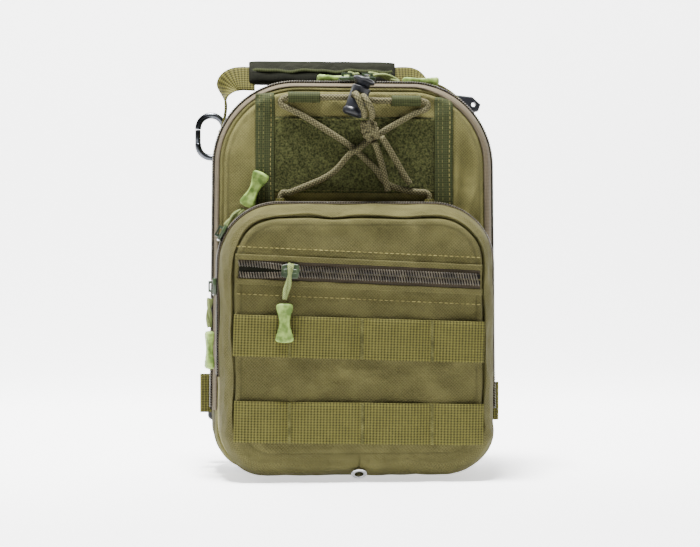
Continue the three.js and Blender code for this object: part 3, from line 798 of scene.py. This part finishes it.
def face_zipper():
    """The straight zipper on the face: open at its left end, closed from its slider on."""
    upper, slope = tilted("face_zip_upper")
    lower, _ = tilted("face_zip_lower")
    centre = (upper + lower) / 2
    slider_x = middle("face_slider")[0]
    for side, half, sewn in ((1, "upper", 13.5 * MM), (-1, "lower", -15 * MM)):
        line = face_line(centre, slope, -ZIP_HALF, ZIP_HALF + 0.5 * MM, 0.9 * MM)
        opened = np.clip((slider_x - 2 * MM - line[:, 0]) / (22 * MM), 0, 1)
        spread = 1.75 * MM + 1.7 * MM * opened ** 0.6
        line[:, 2] += side * spread
        up, out = (np.tile(axis, (len(line), 1)) for axis in ((0, 0, 1.0), FRONT))
        teeth = coil(f"teeth_{side}", line, up, out, 0 if side > 0 else pi)
        rows, uv = [], []
        for lift, away in ((0.5, 1.2), (0.4, 3), (0.3, 5), (0.1, 7.2)):
            x = line[:, 0]
            z = centre + slope * x + side * (away * MM + (spread - 1.7 * MM) * (away < 4))
            rows.append(stack(x, pocket_face_y(x, z) - lift * MM, z))
            uv.append(stack(x, away * MM))
        strip = thicken(sheet(f"strip_{side}", rows, uv, face_tape), 0.4 * MM, 0)
        take_over(joined("face_zipper_" + half, [teeth, strip]), "zipper", "face_zip_" + half)
        lip = face_line(centre + side * 7.4 * MM, slope, -75 * MM, 75 * MM, 0.9 * MM)
        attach(sweep(f"face_zipper_lip_{side}", lip, flat_section(3.6 * MM, 1.3 * MM), FRONT, cloth), "flap")
        row = face_line(centre + sewn, slope, -ZIP_HALF, ZIP_HALF, 0.15 * MM)
        stitches(f"face_stitches_{side}", row, FRONT, thread, "flap")
    # Where the zipper stands open, a near-black strip of spacer mesh lies on the face cloth: painted shade for
    # the pocket's inside seen through the gap.
    gap = face_line(centre, slope, -ZIP_HALF, slider_x, 0.2 * MM)
    width = np.interp(gap[:, 0], [-ZIP_HALF, slider_x - 10 * MM, slider_x], [1.0, 0.8, 0.1])
    slit = sweep("face_zipper_shade_strip", gap, flat_section(5.4 * MM, 0.3 * MM), FRONT, mesh_cloth, swell=width)
    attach(slit, "flap")


# ---- webbing ----

WEBBING = 25.2 * MM  # width of the webbing rows
ROW_THICK = 1.3 * MM
ROW_LIFT = 0.9 * MM  # from the pocket's face to the middle of the webbing where it's tacked down
LOOP_RISE = 1.5 * MM  # how much further out it stands between its tacks


def bar_tack(name, x, z, y, body):
    """A dense zigzag of thread that holds a webbing row down."""
    tall = WEBBING - 0.8 * MM
    places = []
    for k, rise in enumerate(np.arange(-tall / 2, tall / 2, 0.5 * MM)):
        lean = 0.25 if k % 2 else -0.25
        places.append((np.array([x, y, z + rise]), (unit(np.array([1, 0, lean])), (-lean, 0, 1), FRONT)))
    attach(repeat(name, *stitch_shape(2.6 * MM, 0.2 * MM), places, dark_thread), body)


def webbing_row(node):
    """A row of sewn webbing, with a raised loop between each pair of tacks."""
    height, slope = tilted(node)
    half = high(node)[0] + 1.6 * MM
    tacks = [-42.5 * MM, 1.5 * MM, 44 * MM]
    x = np.arange(-half, half, 0.7 * MM)
    z = height + slope * x
    near = np.abs(x[:, None] - np.array([-half, *tacks, half])).min(axis=1)
    slack = 1 - np.exp(-((near / (5 * MM)) ** 2))
    flex = 0.35 * MM * noise(stack(x, z), 16 * MM, 71)
    y = pocket_face_y(x, z) - ROW_LIFT - (LOOP_RISE + flex) * slack
    line = stack(x, y, z)
    made = sweep(node + "_webbing", line, flat_section(WEBBING, ROW_THICK), FRONT, webbing)
    take_over(made, "webbing", node)
    for k, x in enumerate(tacks):
        z = height + slope * x
        bar_tack(f"{node}_tack_{k}", x, z, pocket_face_y(x, z) - 1.75 * MM, body_of(node))


def rolled_back(x, z):
    """How far the upper panel has rounded back at a place near its edge."""
    edge, _ = body_line.sample(np.linspace(0, body_line.length, 600))
    gap = np.hypot(np.asarray(x)[..., None] - edge[:, 0], np.asarray(z)[..., None] - edge[:, 1]).min(axis=-1)
    return 2.8 * MM * ease((7 * MM - gap) / (5 * MM))


def patch(name, node, lift, material, slot_name, wave=0.0):
    """A flat trim piece sewn to the upper panel."""
    rows, columns = 60, 40
    x = np.linspace(low(node)[0], high(node)[0], columns)
    z = np.linspace(low(node)[2], high(node)[2], rows)
    gx, gz = np.meshgrid(x, z)
    edge = np.minimum(np.minimum(gx - x[0], x[-1] - gx), np.minimum(gz - z[0], z[-1] - gz))
    rise = lift * np.clip(edge / (0.8 * MM), 0.15, 1) ** 0.5
    y = panel_face_y(gx, gz) + rolled_back(gx, gz) - rise
    y -= wave * noise(stack(gx, gz), 7 * MM, 81)
    points = stack(gx, y, gz).reshape(-1, 3)
    made = make(name, points, grid_faces(rows, columns), points[:, ::-2], material)
    take_over(thicken(made, 0.6 * MM, 1), slot_name, node)


def pile_fibres():
    """Short curled fibres that stand out of the loop panel."""
    rng = np.random.default_rng(12)
    count = 9000
    a, b = low("loop_panel") + MM, high("loop_panel") - MM
    x, z = rng.uniform(a[0], b[0], count), rng.uniform(a[2], b[2], count)
    root = stack(x, panel_face_y(x, z) - 1.5 * MM, z)
    curl = [(along, out, side) for along, out in ((0, 0), (0.6, 0.55), (1.2, 0.1)) for side in (-0.5, 0.5)]
    template = np.array(curl) * [0.9 * MM, 0.9 * MM, 0.12 * MM]
    places = []
    for point, turn in zip(root, rng.uniform(0, 2 * pi, count)):
        along = np.array([cos(turn), 0, sin(turn)])
        places.append((point, (along, FRONT, np.cross(along, FRONT))))
    made = repeat("loop_panel_fibres", template, np.array([[0, 2, 3, 1], [2, 4, 5, 3]]), places, fuzz)
    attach(made, "front")


def panel_trim():
    patch("loop_panel_pile", "loop_panel", 1.2 * MM, fuzz, "loop_pile", 0.25 * MM)
    pile_fibres()
    for node in ("side_tape_left", "side_tape_right"):
        patch(node + "_sewn", node, 1.1 * MM, trim_tape, "tape")
        z = np.arange(low(node)[2] + MM, high(node)[2] - MM, STEP)
        for k, (share, sewn) in enumerate(((0.18, dark_thread), (0.42, dark_thread), (0.82, thread))):
            x = low(node)[0] + share * (high(node)[0] - low(node)[0])
            x = x + 0.25 * MM * np.sin(z / (9 * MM) + k)
            line = stack(x, panel_face_y(x, z) + rolled_back(x, z) - 1.75 * MM, z)
            stitches(f"{node}_stitches_{k}", line, FRONT, sewn, "front", 2.2 * MM, 0.8 * MM, 0.2 * MM)
    a, b = low("loop_panel"), high("loop_panel")
    x = np.arange(a[0] + MM, b[0] - MM, STEP)
    for k, height in enumerate((a[2] + 1.2 * MM, b[2] - 1.2 * MM)):
        line = stack(x, panel_face_y(x, height) - 1.9 * MM, height)
        stitches(f"loop_panel_stitches_{k}", line, FRONT, dark_thread, "front", 2.2 * MM, 0.8 * MM)


def cord_sleeve(node):
    """A webbing channel, folded over the cord and sewn down."""
    line = np.tile(middle(node), (30, 1))
    line[:, 0] = np.linspace(low(node)[0], high(node)[0], 30)
    ring = circle(1, 24) * [3.4 * MM, 3.1 * MM]
    made = sweep(node + "_webbing", line, ring, FRONT, trim_tape, caps=False)
    take_over(thicken(made, 0.7 * MM), "webbing", node)


def cord_loop(node):
    """A small folded loop of webbing that the lacing is caught in."""
    centre = middle(node)
    centre[1] = PANEL_Y - 3.6 * MM
    angle = np.linspace(-0.4, pi + 0.4, 20)
    out = stack(2.9 * MM * np.cos(angle), -2.7 * MM * np.sin(angle), 0)
    made = sweep(node + "_webbing", centre + out, flat_section(3.4 * MM, 0.8 * MM), unit(out), webbing)
    take_over(made, "webbing", node)


# ---- cords ----

# The routes of the cords, in millimetres.
ROUTES = {
    "lacing_right": [
        (4.9, -47, 223.6), (4.2, -51.8, 226.2), (2.2, -54.8, 229.6), (0.2, -55.4, 233.8),
        (-0.7, -52, 236.7), (-0.7, -44, 236.8), (-0.7, -38, 236.8), (-2.4, -33.9, 236.7),
        (-7, -32.8, 236.5), (-15, -32.8, 236.5), (-22, -32.8, 236.5), (-32, -32.8, 236.5),
        (-42, -32.8, 236.4), (-46.2, -32.8, 234.6), (-45.4, -32.9, 231.2), (-40, -33, 228.8),
        (-30, -33, 223.3), (-15, -33, 214), (-3.4, -33, 206.3), (6, -33, 198.2), (13, -33, 191.4),
        (20, -33, 182.6), (30, -33, 178.8), (39, -33, 177.4), (44.6, -33, 177), (46.8, -33, 174.6),
        (46.8, -33, 171.4), (46.8, -33, 169),
    ],
    "lacing_left": [
        (9.6, -47, 223), (9.2, -51.8, 225.6), (7.6, -54.8, 228.8), (5.4, -55.4, 232.4),
        (3.9, -52, 235.1), (3.8, -44, 235.2), (3.8, -38, 235.2), (5.8, -33.9, 235),
        (10, -32.8, 234.8), (16, -32.8, 234.6), (23, -32.8, 234.6), (32, -32.8, 234.6),
        (41.6, -32.8, 234.6), (45.8, -32.8, 232.8), (44.6, -32.9, 229.4), (38, -33, 227),
        (28, -33, 221.4), (16, -33, 214.2), (8.6, -33.6, 209.2), (1.4, -37.4, 203.6),
        (-4, -37.4, 200.2), (-12, -34.6, 191), (-20, -33.2, 185.6), (-32, -33, 180.4),
        (-41, -33, 176.8), (-45, -33, 176.6), (-46.6, -33, 174.4), (-46.6, -33, 171.4),
        (-46.6, -33, 169),
    ],
    "tail_near": [
        (11.2, -43, 207.9), (13, -40.4, 204.4), (15, -38.6, 199), (16.8, -37.8, 193), (18.2, -37.7, 187),
        (19.4, -37.7, 181.6), (20.4, -37.7, 177.4),
    ],
    "tail_far": [
        (16, -43, 210.8), (19, -40.6, 206.6), (22.4, -38.8, 201.4), (25.8, -37, 196),
        (29, -35.6, 190.8), (32.2, -34.6, 185.8), (34.6, -34, 182.4),
    ],
}
CORD_RADIUS = 2 * MM


def cords():
    for node, points in ROUTES.items():
        line = smooth_path(np.array(points) * MM, 0.45 * MM)
        made = sweep(node + "_cord", line, circle(CORD_RADIUS * 0.97, 20), (0, -1, 0.01), cord_braid)
        take_over(made, "cord", node)
        if node.startswith("tail"):
            distances(line)[-1]
            [tuple(p) for p in evenly(line, 1.2 * MM)]


def knot():
    """The knot: the doubled cord, wrapped round itself and over."""
    centre = middle("cord_knot")
    axis, side = np.array([-SIN, 0, COS]), np.array([COS, 0, SIN])
    t = np.linspace(0, 1, 90)[:, None]
    angle = 2 * pi * 2.6 * t + 2.4
    wide = 3.7 * MM * (1 - 0.25 * np.abs(2 * t - 1) ** 3)
    wraps = centre + wide * (np.cos(angle) * side + np.sin(angle) * FRONT) + (1 - 2 * t) * 4.2 * MM * axis
    pieces = [sweep("wraps", wraps, circle(CORD_RADIUS, 16), axis, cord_braid)]
    for shift in (-2.1 * MM, 2.1 * MM):
        core = centre + side * shift + np.linspace(6.2 * MM, -6.4 * MM, 16)[:, None] * axis
        pieces.append(sweep("core", core, circle(CORD_RADIUS, 16), FRONT, cord_braid))
    over = np.array([(-3, 0, 5), (0, 4.6, 3), (1.5, 5, -2), (3, 0, -5.6)]) * MM
    over = smooth_path(centre + over @ np.array([side, FRONT, axis]), 0.6 * MM)
    pieces.append(sweep("over", over, circle(CORD_RADIUS * 0.95, 16), (1, 0, 0), cord_braid))
    take_over(joined("cord_knot_wraps", pieces), "cord", "cord_knot")


def place(made, origin, axes):
    """Moves a mesh drawn at the origin to its place, with its X, Y and Z turned onto axes."""
    points = np.array([v.co for v in made.data.vertices])
    made.data.vertices.foreach_set("co", (origin + points @ axes).ravel())
    made.data.update()


def cord_lock():
    """The cord lock: a ribbed barrel with a window, and its flanged button."""
    axes = np.array([(COS, 0, -SIN), (0, 1, 0), (SIN, 0, COS)])
    passage = np.array([1.5, -41, 236]) * MM
    barrel = lathe("cord_lock_barrel", np.array([
        (0, -9.6), (4.9, -9.6), (5.9, -9.3), (6.5, -8.5), (6.6, -7.4), (6.5, -6.2), (6.0, -5.5),
        (5.7, -5.2), (5.75, -4.6), (5.95, -2), (6.0, 1), (5.9, 5), (5.8, 7), (5.95, 7.6), (6.1, 8.2),
        (6.0, 8.8), (5.4, 9.2), (4.9, 9), (4.8, 5.8), (0, 5.7),
    ]) * MM, plastic, 64)
    place(barrel, middle("lock_barrel"), axes)
    bpy.ops.mesh.primitive_cube_add(size=1)
    window = bpy.context.object
    window.data.transform(Matrix.Diagonal((9.4 * MM, 20 * MM, 5.2 * MM, 1)))
    place(window, passage, axes)
    cut = barrel.modifiers.new("window", "BOOLEAN")
    cut.object = window
    cut.operation = "DIFFERENCE"
    cut.solver = "EXACT"
    apply(barrel)
    bpy.data.objects.remove(window)
    take_over(round_edges(barrel, 0.25 * MM, 2), "black_plastic", "lock_barrel")
    button = lathe("cord_lock_button", np.array([
        (0, 6.6), (4.4, 6.6), (4.6, 9.2), (5.8, 9.6), (6.7, 10.1), (6.95, 10.9), (6.8, 11.7), (6, 12.2),
        (4.6, 12.5), (2.5, 12.8), (0, 12.9),
    ]) * MM, plastic, 64)
    place(button, passage, axes)
    take_over(button, "black_plastic", "lock_button")


# ---- pulls ----

# Each pull's cord route in millimetres, and its grip's turns about X, Y and Z in degrees.
PULLS = {
    "main_left": ([(-2.6, -14.6, 253.2), (2.4, -12.4, 253.2), (3.2, -6, 251.2)], (0, 90, 90)),
    "main_right": ([(10.4, -14.4, 253.2), (19, -12, 253), (30, -9.4, 249.6)], (0, -90, 90)),
    "face_pull": ([(-41.6, -76.4, 131.4), (-42, -78.7, 129.4), (-42.4, -78.4, 125), (-43.2, -77.4, 120),
                   (-44.5, -77, 115.6), (-45.5, -77, 110.4)], (0, 0, 0)),
    "pocket_upper": ([(-80.6, -34.2, 155.6), (-76.4, -34, 161.4), (-69.4, -34, 165.8)], (0, 206, 0)),
    "pocket_side": ([(-90.4, -41.4, 110.6), (-91.2, -42, 103), (-90.8, -42, 92.8)], (0, 0, -77)),
}

# The slider at each of these pulls, and where its cord starts and ends its turn towards its grip.
BENDS = {
    "face_pull": ("face_slider", (-0.0424, -0.0784, 0.1250), (-0.0430, -0.0774, 0.1205)),
    "main_left": ("main_slider_left", (0, -0.0136, 0.2532), (0.0028, -0.0100, 0.2524)),
}


def pull_cord(name):
    """The doubled cord of a zipper pull: two strands side by side, laid round each other."""
    node = name + "_cord"
    line = smooth_path(np.array(PULLS[name][0]) * MM, 0.3 * MM)
    _, beside, out = frames(line, NEAR_FRONT)
    turn = np.linspace(0, 1.4 * pi, len(line))[:, None]
    offset = 0.95 * MM * (np.cos(turn) * beside + np.sin(turn) * out)
    made = joined(name + "_strands", [
        sweep("strand", strand, circle(1.1 * MM, 14), NEAR_FRONT, pull_braid)
        for strand in (line + offset, line - offset)
    ])
    if name in BENDS:
        slider, start, end = BENDS[name]
        take_over_bent(made, "pull_cord", (body_of(slider), body_of(node)), start, end, node)
    else:
        take_over(made, "pull_cord", node)


def pull_grip(name):
    """A moulded grip: flared at both ends, waisted, with ridges round its lower end."""
    points, turn = PULLS[name]
    rows, columns, tall = 44, 40, 24 * MM
    t = np.linspace(0, 1, rows)[:, None]
    x, y = squared(circle(1, columns), 0.55).T
    ridges = 0.22 * MM * np.clip(np.sin((t - 0.66) * 2 * pi / 0.11), 0, 1) * (t > 0.66)
    half = (4.1 + 1.2 * np.cos(2 * pi * t) + 0.5 * t) * MM + ridges
    thick = (2.3 + 0.35 * np.cos(2 * pi * t)) * MM + ridges
    dish = 0.35 * MM * np.exp(-(((t - 0.36) / 0.16) ** 2)) * (np.abs(x) < 0.62)
    close = np.sqrt(np.clip(1 - np.abs(2 * t - 1) ** 14, 0, 1))
    rings = stack(x * half * close, y * (thick - dish) * close, -tall * t)
    faces = tube_faces(rows, columns).tolist() + end_faces((rows - 1) * columns, columns)
    made = make(name + "_moulding", rings.reshape(-1, 3), faces, None, rubber)
    rx, ry, rz = (radians(a) for a in turn)
    turned = Matrix.Rotation(ry, 4, "Y") @ Matrix.Rotation(rx, 4, "X") @ Matrix.Rotation(rz, 4, "Z")
    start = Vector(points[-1]) * MM + turned @ Vector((0, 0, -2.1 * MM))
    made.data.transform(Matrix.Translation(start) @ turned)
    take_over(made, "pull_grip", name + "_grip")


# ---- carry handle ----


def handle_grip():
    """The padded grip: cloth outside, spacer mesh below, and a wavy binding between them."""
    x0, x1 = low("handle_grip")[0], high("handle_grip")[0]
    centre = middle("handle_grip")
    rows, columns = 120, 48
    t = np.linspace(0, 1, rows)
    across, up = circle(1, columns).T
    puff = np.clip(1 - np.abs(2 * t - 1) ** 10, 0, 1)[:, None] ** 0.5
    wide = 4.3 * MM * (0.55 + 0.45 * puff) * (1 + 0.08 * np.sin(t * 31))[:, None]
    y = squared(across, 0.8) * wide
    z = squared(up, 0.7) * 8.3 * MM * (0.93 + 0.07 * puff)
    x = np.repeat((x0 + t * (x1 - x0))[:, None], columns, axis=1)
    points = stack(x, centre[1] + z * SIN + y * COS, centre[2] + z * COS - y * SIN)
    creased = np.abs(points[..., 2] - centre[2]) < 7 * MM
    points[..., 2] -= 0.6 * MM * folds(points, 9 * MM, 51, (1.4, 1, 1)) * creased
    faces = tube_faces(rows, columns).tolist() + end_faces((rows - 1) * columns, columns)
    uv = stack(x - x0, np.arange(columns) * 1.1 * MM).reshape(-1, 2)
    made = make("handle_grip_padding", points.reshape(-1, 3), faces, uv, handle_cloth)
    made.data.materials.append(mesh_cloth)
    border = centre[2] + 1.2 * MM + 0.5 * MM * np.sin(t * 19) + 0.3 * MM * np.sin(t * 37 + 1)
    for face in made.data.polygons:
        k = min(int((face.center.x - x0) / (x1 - x0) * rows), rows - 1)
        face.material_index = int(face.center.z < border[k])
    take_over(weld(made), "padding", "handle_grip")
    front = []
    for row, height in zip(points, border):
        facing = row[row[:, 1] < centre[1]]
        front.append(facing[np.abs(facing[:, 2] - height).argmin(), 1])
    front = np.convolve(np.pad(front, 4, mode="edge"), np.ones(9) / 9, mode="valid")
    line = stack(np.linspace(x0 + 2 * MM, x1 - 2 * MM, rows), front - 0.35 * MM, border)
    binding = sweep("handle_grip_binding", line, flat_section(2.2 * MM, 0.8 * MM), (0, -1, 0.3), trim_tape)
    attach(binding, "handle")


def ribbon(name, points, wide, thick, up, step=1 * MM, turn=(0, 1)):
    """A strip of webbing laid along points in millimetres. up is its face's direction, or one for
    each end, and then turn is the stretch of the strip where it twists from one to the other."""
    line = smooth_path(np.array(points) * MM, step)
    if np.ndim(up) == 2:
        share = ease((np.linspace(0, 1, len(line)) - turn[0]) / (turn[1] - turn[0]))[:, None]
        up = np.array(up[0]) * (1 - share) + np.array(up[1]) * share
    return sweep(name, line, flat_section(wide * MM, thick * MM), up, webbing)


def handle_webbing():
    """The webbing at each end of the grip, twisting from its sewn anchor up into the grip."""
    wide, thick = 17, 1.6
    face_up = (0, -0.94, 0.34)
    left = ribbon("handle_webbing_left", [
        (-84.6, 16, 217), (-83, 16, 223), (-81.6, 15.6, 229), (-81, 15.2, 235), (-81.4, 14.6, 242),
        (-80, 14, 248.4), (-76.4, 13.6, 252), (-71, 13.6, 253.2), (-62, 13.8, 253),
    ], wide, thick, ((-1, 0, 0.2), face_up), turn=(0.4, 0.72))
    take_over_bent(left, "webbing", ("bag", "handle"), (-0.0835, 0.014, 0.243), (-0.0810, 0.014, 0.250),
                   "handle_anchor_left", "handle_end_left")
    right = ribbon("handle_webbing_right", [
        (26, 13.8, 253), (33, 13.8, 254), (44, 14, 253.6), (53, 14, 250.8), (60, 14, 248),
        (67, 14, 243.6), (72, 14, 239), (75.6, 14, 234.4),
    ], wide, thick, (face_up, (0.5, 0, 1)), turn=(0.2, 0.6))
    take_over_bent(right, "webbing", ("handle", "bag"), (0.0550, 0.014, 0.251), (0.0590, 0.014, 0.2476),
                   "handle_anchor_right", "handle_end_right")


# ---- tabs, ring, buckles and strap ----


def tabs():
    """The sewn tabs: a folded one at each lower side, and the small one that holds the ring."""
    for side, node in ((-1, "lower_tab_left"), (1, "lower_tab_right")):
        z = middle(node)[2] / MM
        fold = [(88.6, 8.6), (94, 8.4), (96.4, 8.5), (97.2, 9.5), (96.4, 10.5), (94, 10.6), (88.6, 10.4)]
        tall = (high(node) - low(node))[2] / MM
        made = ribbon(node + "_webbing", [(side * x, y, z) for x, y in fold], tall, 1.1, FRONT, 0.6 * MM)
        take_over(made, "webbing", node)
    x, _, z = middle("ring_tab") / MM
    y = 35.4
    bend = [(x + 3.3 * cos(t), y + 3.3 * sin(t), z) for t in np.linspace(1.1, 5.1, 12)]
    loop = [(x + 18, 33, z), (x + 10.4, 33.6, z), (x + 5, 36.6, z), *bend, (x + 5, 33, z), (x + 10.4, 32, z),
            (x + 18, 31.4, z)]
    line = smooth_path(np.array(loop) * MM, 0.6 * MM)
    out = unit(np.cross(np.gradient(line, axis=0), (0, 0, 1)))
    made = sweep("ring_tab_webbing", line, flat_section(8.6 * MM, 0.9 * MM), out, webbing)
    take_over(made, "webbing", "ring_tab")


def ring_hardware():
    """The gunmetal ring, open on its left, and its gate."""
    half, straight = 8.6 * MM, 5.4 * MM
    route = [(-half, 0, -4.8 * MM)]
    for start, rise in ((pi, -straight), (0, straight)):
        for a in np.linspace(start, start + pi, 24):
            route.append((half * cos(a), 0, rise + half * sin(a)))
    route.append((-half, 0, 4.8 * MM))
    line = evenly(middle("ring_body") + route, 0.8 * MM)
    made = sweep("snap_ring_bar", line, circle(2.1 * MM, 24), (0, 1, 0), gunmetal)
    take_over(made, "gunmetal", "ring_body")
    x, y, _ = middle("ring_gate")
    z0, z1 = low("ring_gate")[2] - 0.4 * MM, high("ring_gate")[2] + 0.4 * MM
    profile = [(0, z0), (1.5 * MM, z0), (1.9 * MM, z0 + 0.5 * MM), (1.9 * MM, z1 - 0.5 * MM),
               (1.5 * MM, z1), (0, z1)]
    gate = lathe("ring_gate_bar", profile, gunmetal, 24)
    gate.data.transform(Matrix.Translation((x, y, 0)))
    take_over(gate, "gunmetal", "ring_gate")


def pad(name, node, seams, material):
    """A quilted pad: a crowned cushion in the outline of its CAD piece, channelled across."""
    a, b = low(node), high(node)
    x0, _, z0 = middle(node)
    half, thick, tall = (b - a) * [0.5, 1, 0.5] - [0, 1 * MM, 0]
    rows, columns = 90, 61
    v, u = np.meshgrid(np.linspace(-1, 1, rows), np.linspace(-1, 1, columns), indexing="ij")
    corner = np.maximum(np.abs(u), np.abs(v)) / np.maximum((np.abs(u) ** 6 + np.abs(v) ** 6) ** (1 / 6), 1e-9)
    x, z = x0 + half * u * corner, z0 + tall * v * corner
    edge = (1 - np.abs(u) ** 8) * (1 - np.abs(v) ** 16)
    channel = np.ones_like(x)
    for seam in seams:
        channel *= 1 - 0.7 * np.exp(-(((z - a[2] - seam * 2 * tall) / (2.4 * MM)) ** 2))
    rise = thick * edge ** 0.6 * (0.55 + 0.45 * channel)
    rise += 0.3 * MM * noise(stack(x, z), 12 * MM, 91) * edge
    outer = stack(x, a[1] + 0.7 * MM + rise, z)
    inner = stack(x, a[1] + 0.2 * MM, z)
    faces = grid_faces(rows, columns)
    number = np.arange(x.size).reshape(rows, columns)
    loop = [*number[0], *number[1:, -1], *number[-1, -2::-1], *number[-2:0:-1, 0]]
    rim = [[p, q, q + x.size, p + x.size] for p, q in zip(loop, loop[1:] + loop[:1])]
    every = faces.tolist() + (faces[:, ::-1] + x.size).tolist() + rim
    points = np.stack([outer, inner]).reshape(-1, 3)
    made = weld(make(name, points, every, points[:, ::2], material))
    take_over(made, "padding", node)
    for k, seam in enumerate(seams):
        x = np.linspace(-0.9, 0.9, 40) * half
        depth = 0.685 * thick * (1 - (np.abs(x) / half) ** 8) ** 0.6
        line = stack(x0 + x, a[1] + 1.1 * MM + depth, a[2] + seam * 2 * tall)
        stitches(f"{name}_stitches_{k}", line, (0, 1, 0), dark_thread, body_of(node))


def piping(name, node):
    """The bound edge round a pad."""
    turn = np.linspace(0, 2 * pi, 241)
    half = (high(node) - low(node)) / 2 - 0.6 * MM
    line = np.tile(middle(node), (241, 1))
    line[:, 0] += squared(np.cos(turn), 1 / 3) * half[0]
    line[:, 1] = low(node)[1] + 1.2 * MM
    line[:, 2] += squared(np.sin(turn), 1 / 3) * half[2]
    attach(sweep(name, evenly(line, 1 * MM), circle(1.1 * MM, 12), (0, 1, 0), trim_tape), body_of(node))


def back_and_strap():
    """What hangs and is sewn at the back: the padded panel, the shoulder strap and its webbing."""
    pad("back_pad_cushion", "back_pad", (0.25, 0.5, 0.75), mesh_cloth)
    pad("strap_pad_cushion", "strap_pad", (0.12, 0.88), dark_cloth)
    piping("back_pad_piping", "back_pad")
    piping("strap_pad_piping", "strap_pad")
    take_over(ribbon("strap_webbing_band", [
        (-12.4, 42.8, 90.8), (-22, 42.8, 86), (-34, 42.8, 80.2), (-46, 42.8, 76.6), (-58, 42.8, 75.2),
        (-70, 42.8, 74.2), (-79.6, 42.8, 73.9),
    ], 7.4, 1.6, (0, 0, 1)), "webbing", "strap_webbing")
    take_over(ribbon("strap_top_band", [
        (22, 42.5, 224.6), (31, 42.5, 228.6), (40, 42.5, 232), (50, 42.5, 234.4), (61, 42.5, 236),
    ], 7, 1.9, (0, 0, 1)), "webbing", "strap_top")


def hard_piece(node, material, slot_name):
    """A hard piece: its CAD shape with finely rounded edges, in its true material."""
    made = link(node + "_solid", frame["nodes"][node].data.copy())
    made.data.materials.clear()
    made.data.materials.append(material)
    take_over(round_edges(weld(made, 1e-5), 0.35 * MM), slot_name, node)


def hardware():
    for node in ("main_slider_left", "main_slider_right", "face_slider", "pocket_slider_upper",
                 "pocket_slider_side"):
        hard_piece(node, enamel, "slider_enamel")
    for node in ("buckle_female", "buckle_male", "strap_hook"):
        hard_piece(node, plastic, "black_plastic")
    hard_piece("drain_grommet", silver, "eyelet_metal")


# ---- stage, camera, light ----


def camera():
    """The camera stands a metre in front of the pocket, a little to its left and level with it."""
    turn, away, wide, sensor = radians(4), 1.0, 0.4235, 36
    eye = bpy.data.cameras.new("camera")
    eye.sensor_width = sensor
    eye.lens = sensor * away / wide
    made = link("camera", eye)
    target = np.array([-5.7 * MM, FACE_Y, 126 * MM])
    made.location = target + away * np.array([-sin(turn), -cos(turn), 0])
    made.rotation_euler = (pi / 2, 0, -turn)
    bpy.context.scene.camera = made


def area_light(name, origin, size, power):
    """A round soft light that faces the middle of the bag."""
    light = bpy.data.lights.new(name, "AREA")
    light.shape = "DISK"
    light.size = size
    light.energy = power
    made = link(name, light)
    made.location = origin
    x, y, z = unit(np.array([0, 0, 0.12]) - origin)
    made.rotation_euler = (acos(-z), 0, pi - atan2(x, -y))


def stage():
    """A white floor that curves up into a glowing backdrop, under soft lights."""
    bend = [(0.9 + 0.6 * sin(a), 0.6 - 0.6 * cos(a)) for a in np.linspace(0.1, pi / 2, 12)]
    run = [(-12, 0), (-1.5, 0), (0, 0), (0.9, 0), *bend, (1.5, 2.4)]
    rows = [[(x, y, z - 0.2 * MM) for y, z in run] for x in (-9, 9)]
    look = Look("studio_white", 0.9)
    _, depth = look.coordinates("Object")
    look.inputs["Emission Color"].default_value = (1, 1, 1, 1)
    glow = look.math("MULTIPLY_ADD", look.ramp(depth, -0.25, 0.5), 2.4, 0.42)
    look.feed(look.inputs["Emission Strength"], glow)
    white = look.done((0.9, 0.9, 0.9, 1))
    make("studio_floor", np.vstack(rows), grid_faces(2, len(run)), None, white)
    world = bpy.data.worlds.new("studio_world")
    world.use_nodes = True
    world.node_tree.nodes["Background"].inputs["Color"].default_value = (1, 1, 1, 1)
    world.node_tree.nodes["Background"].inputs["Strength"].default_value = 0.13
    bpy.context.scene.world = world
    area_light("left", (-1.15, -0.32, 0.6), 0.5, 52)
    area_light("right", (1.1, -0.26, 0.5), 0.4, 27)
    area_light("top", (-0.1, -0.14, 1.2), 0.35, 80)


# ---- build ----

camera()
stage()
cords()
knot()
cord_lock()
pocket_shell()
front_panel()
rear_shell()
pocket_gusset()
curved_zippers()
face_zipper()
webbing_row("molle_upper")
webbing_row("molle_lower")
panel_trim()
for side_name in ("left", "right"):
    cord_sleeve("cord_sleeve_" + side_name)
    cord_loop("cord_loop_" + side_name)
for pull_name in PULLS:
    pull_cord(pull_name)
    pull_grip(pull_name)
handle_grip()
handle_webbing()
tabs()
ring_hardware()
back_and_strap()
hardware()
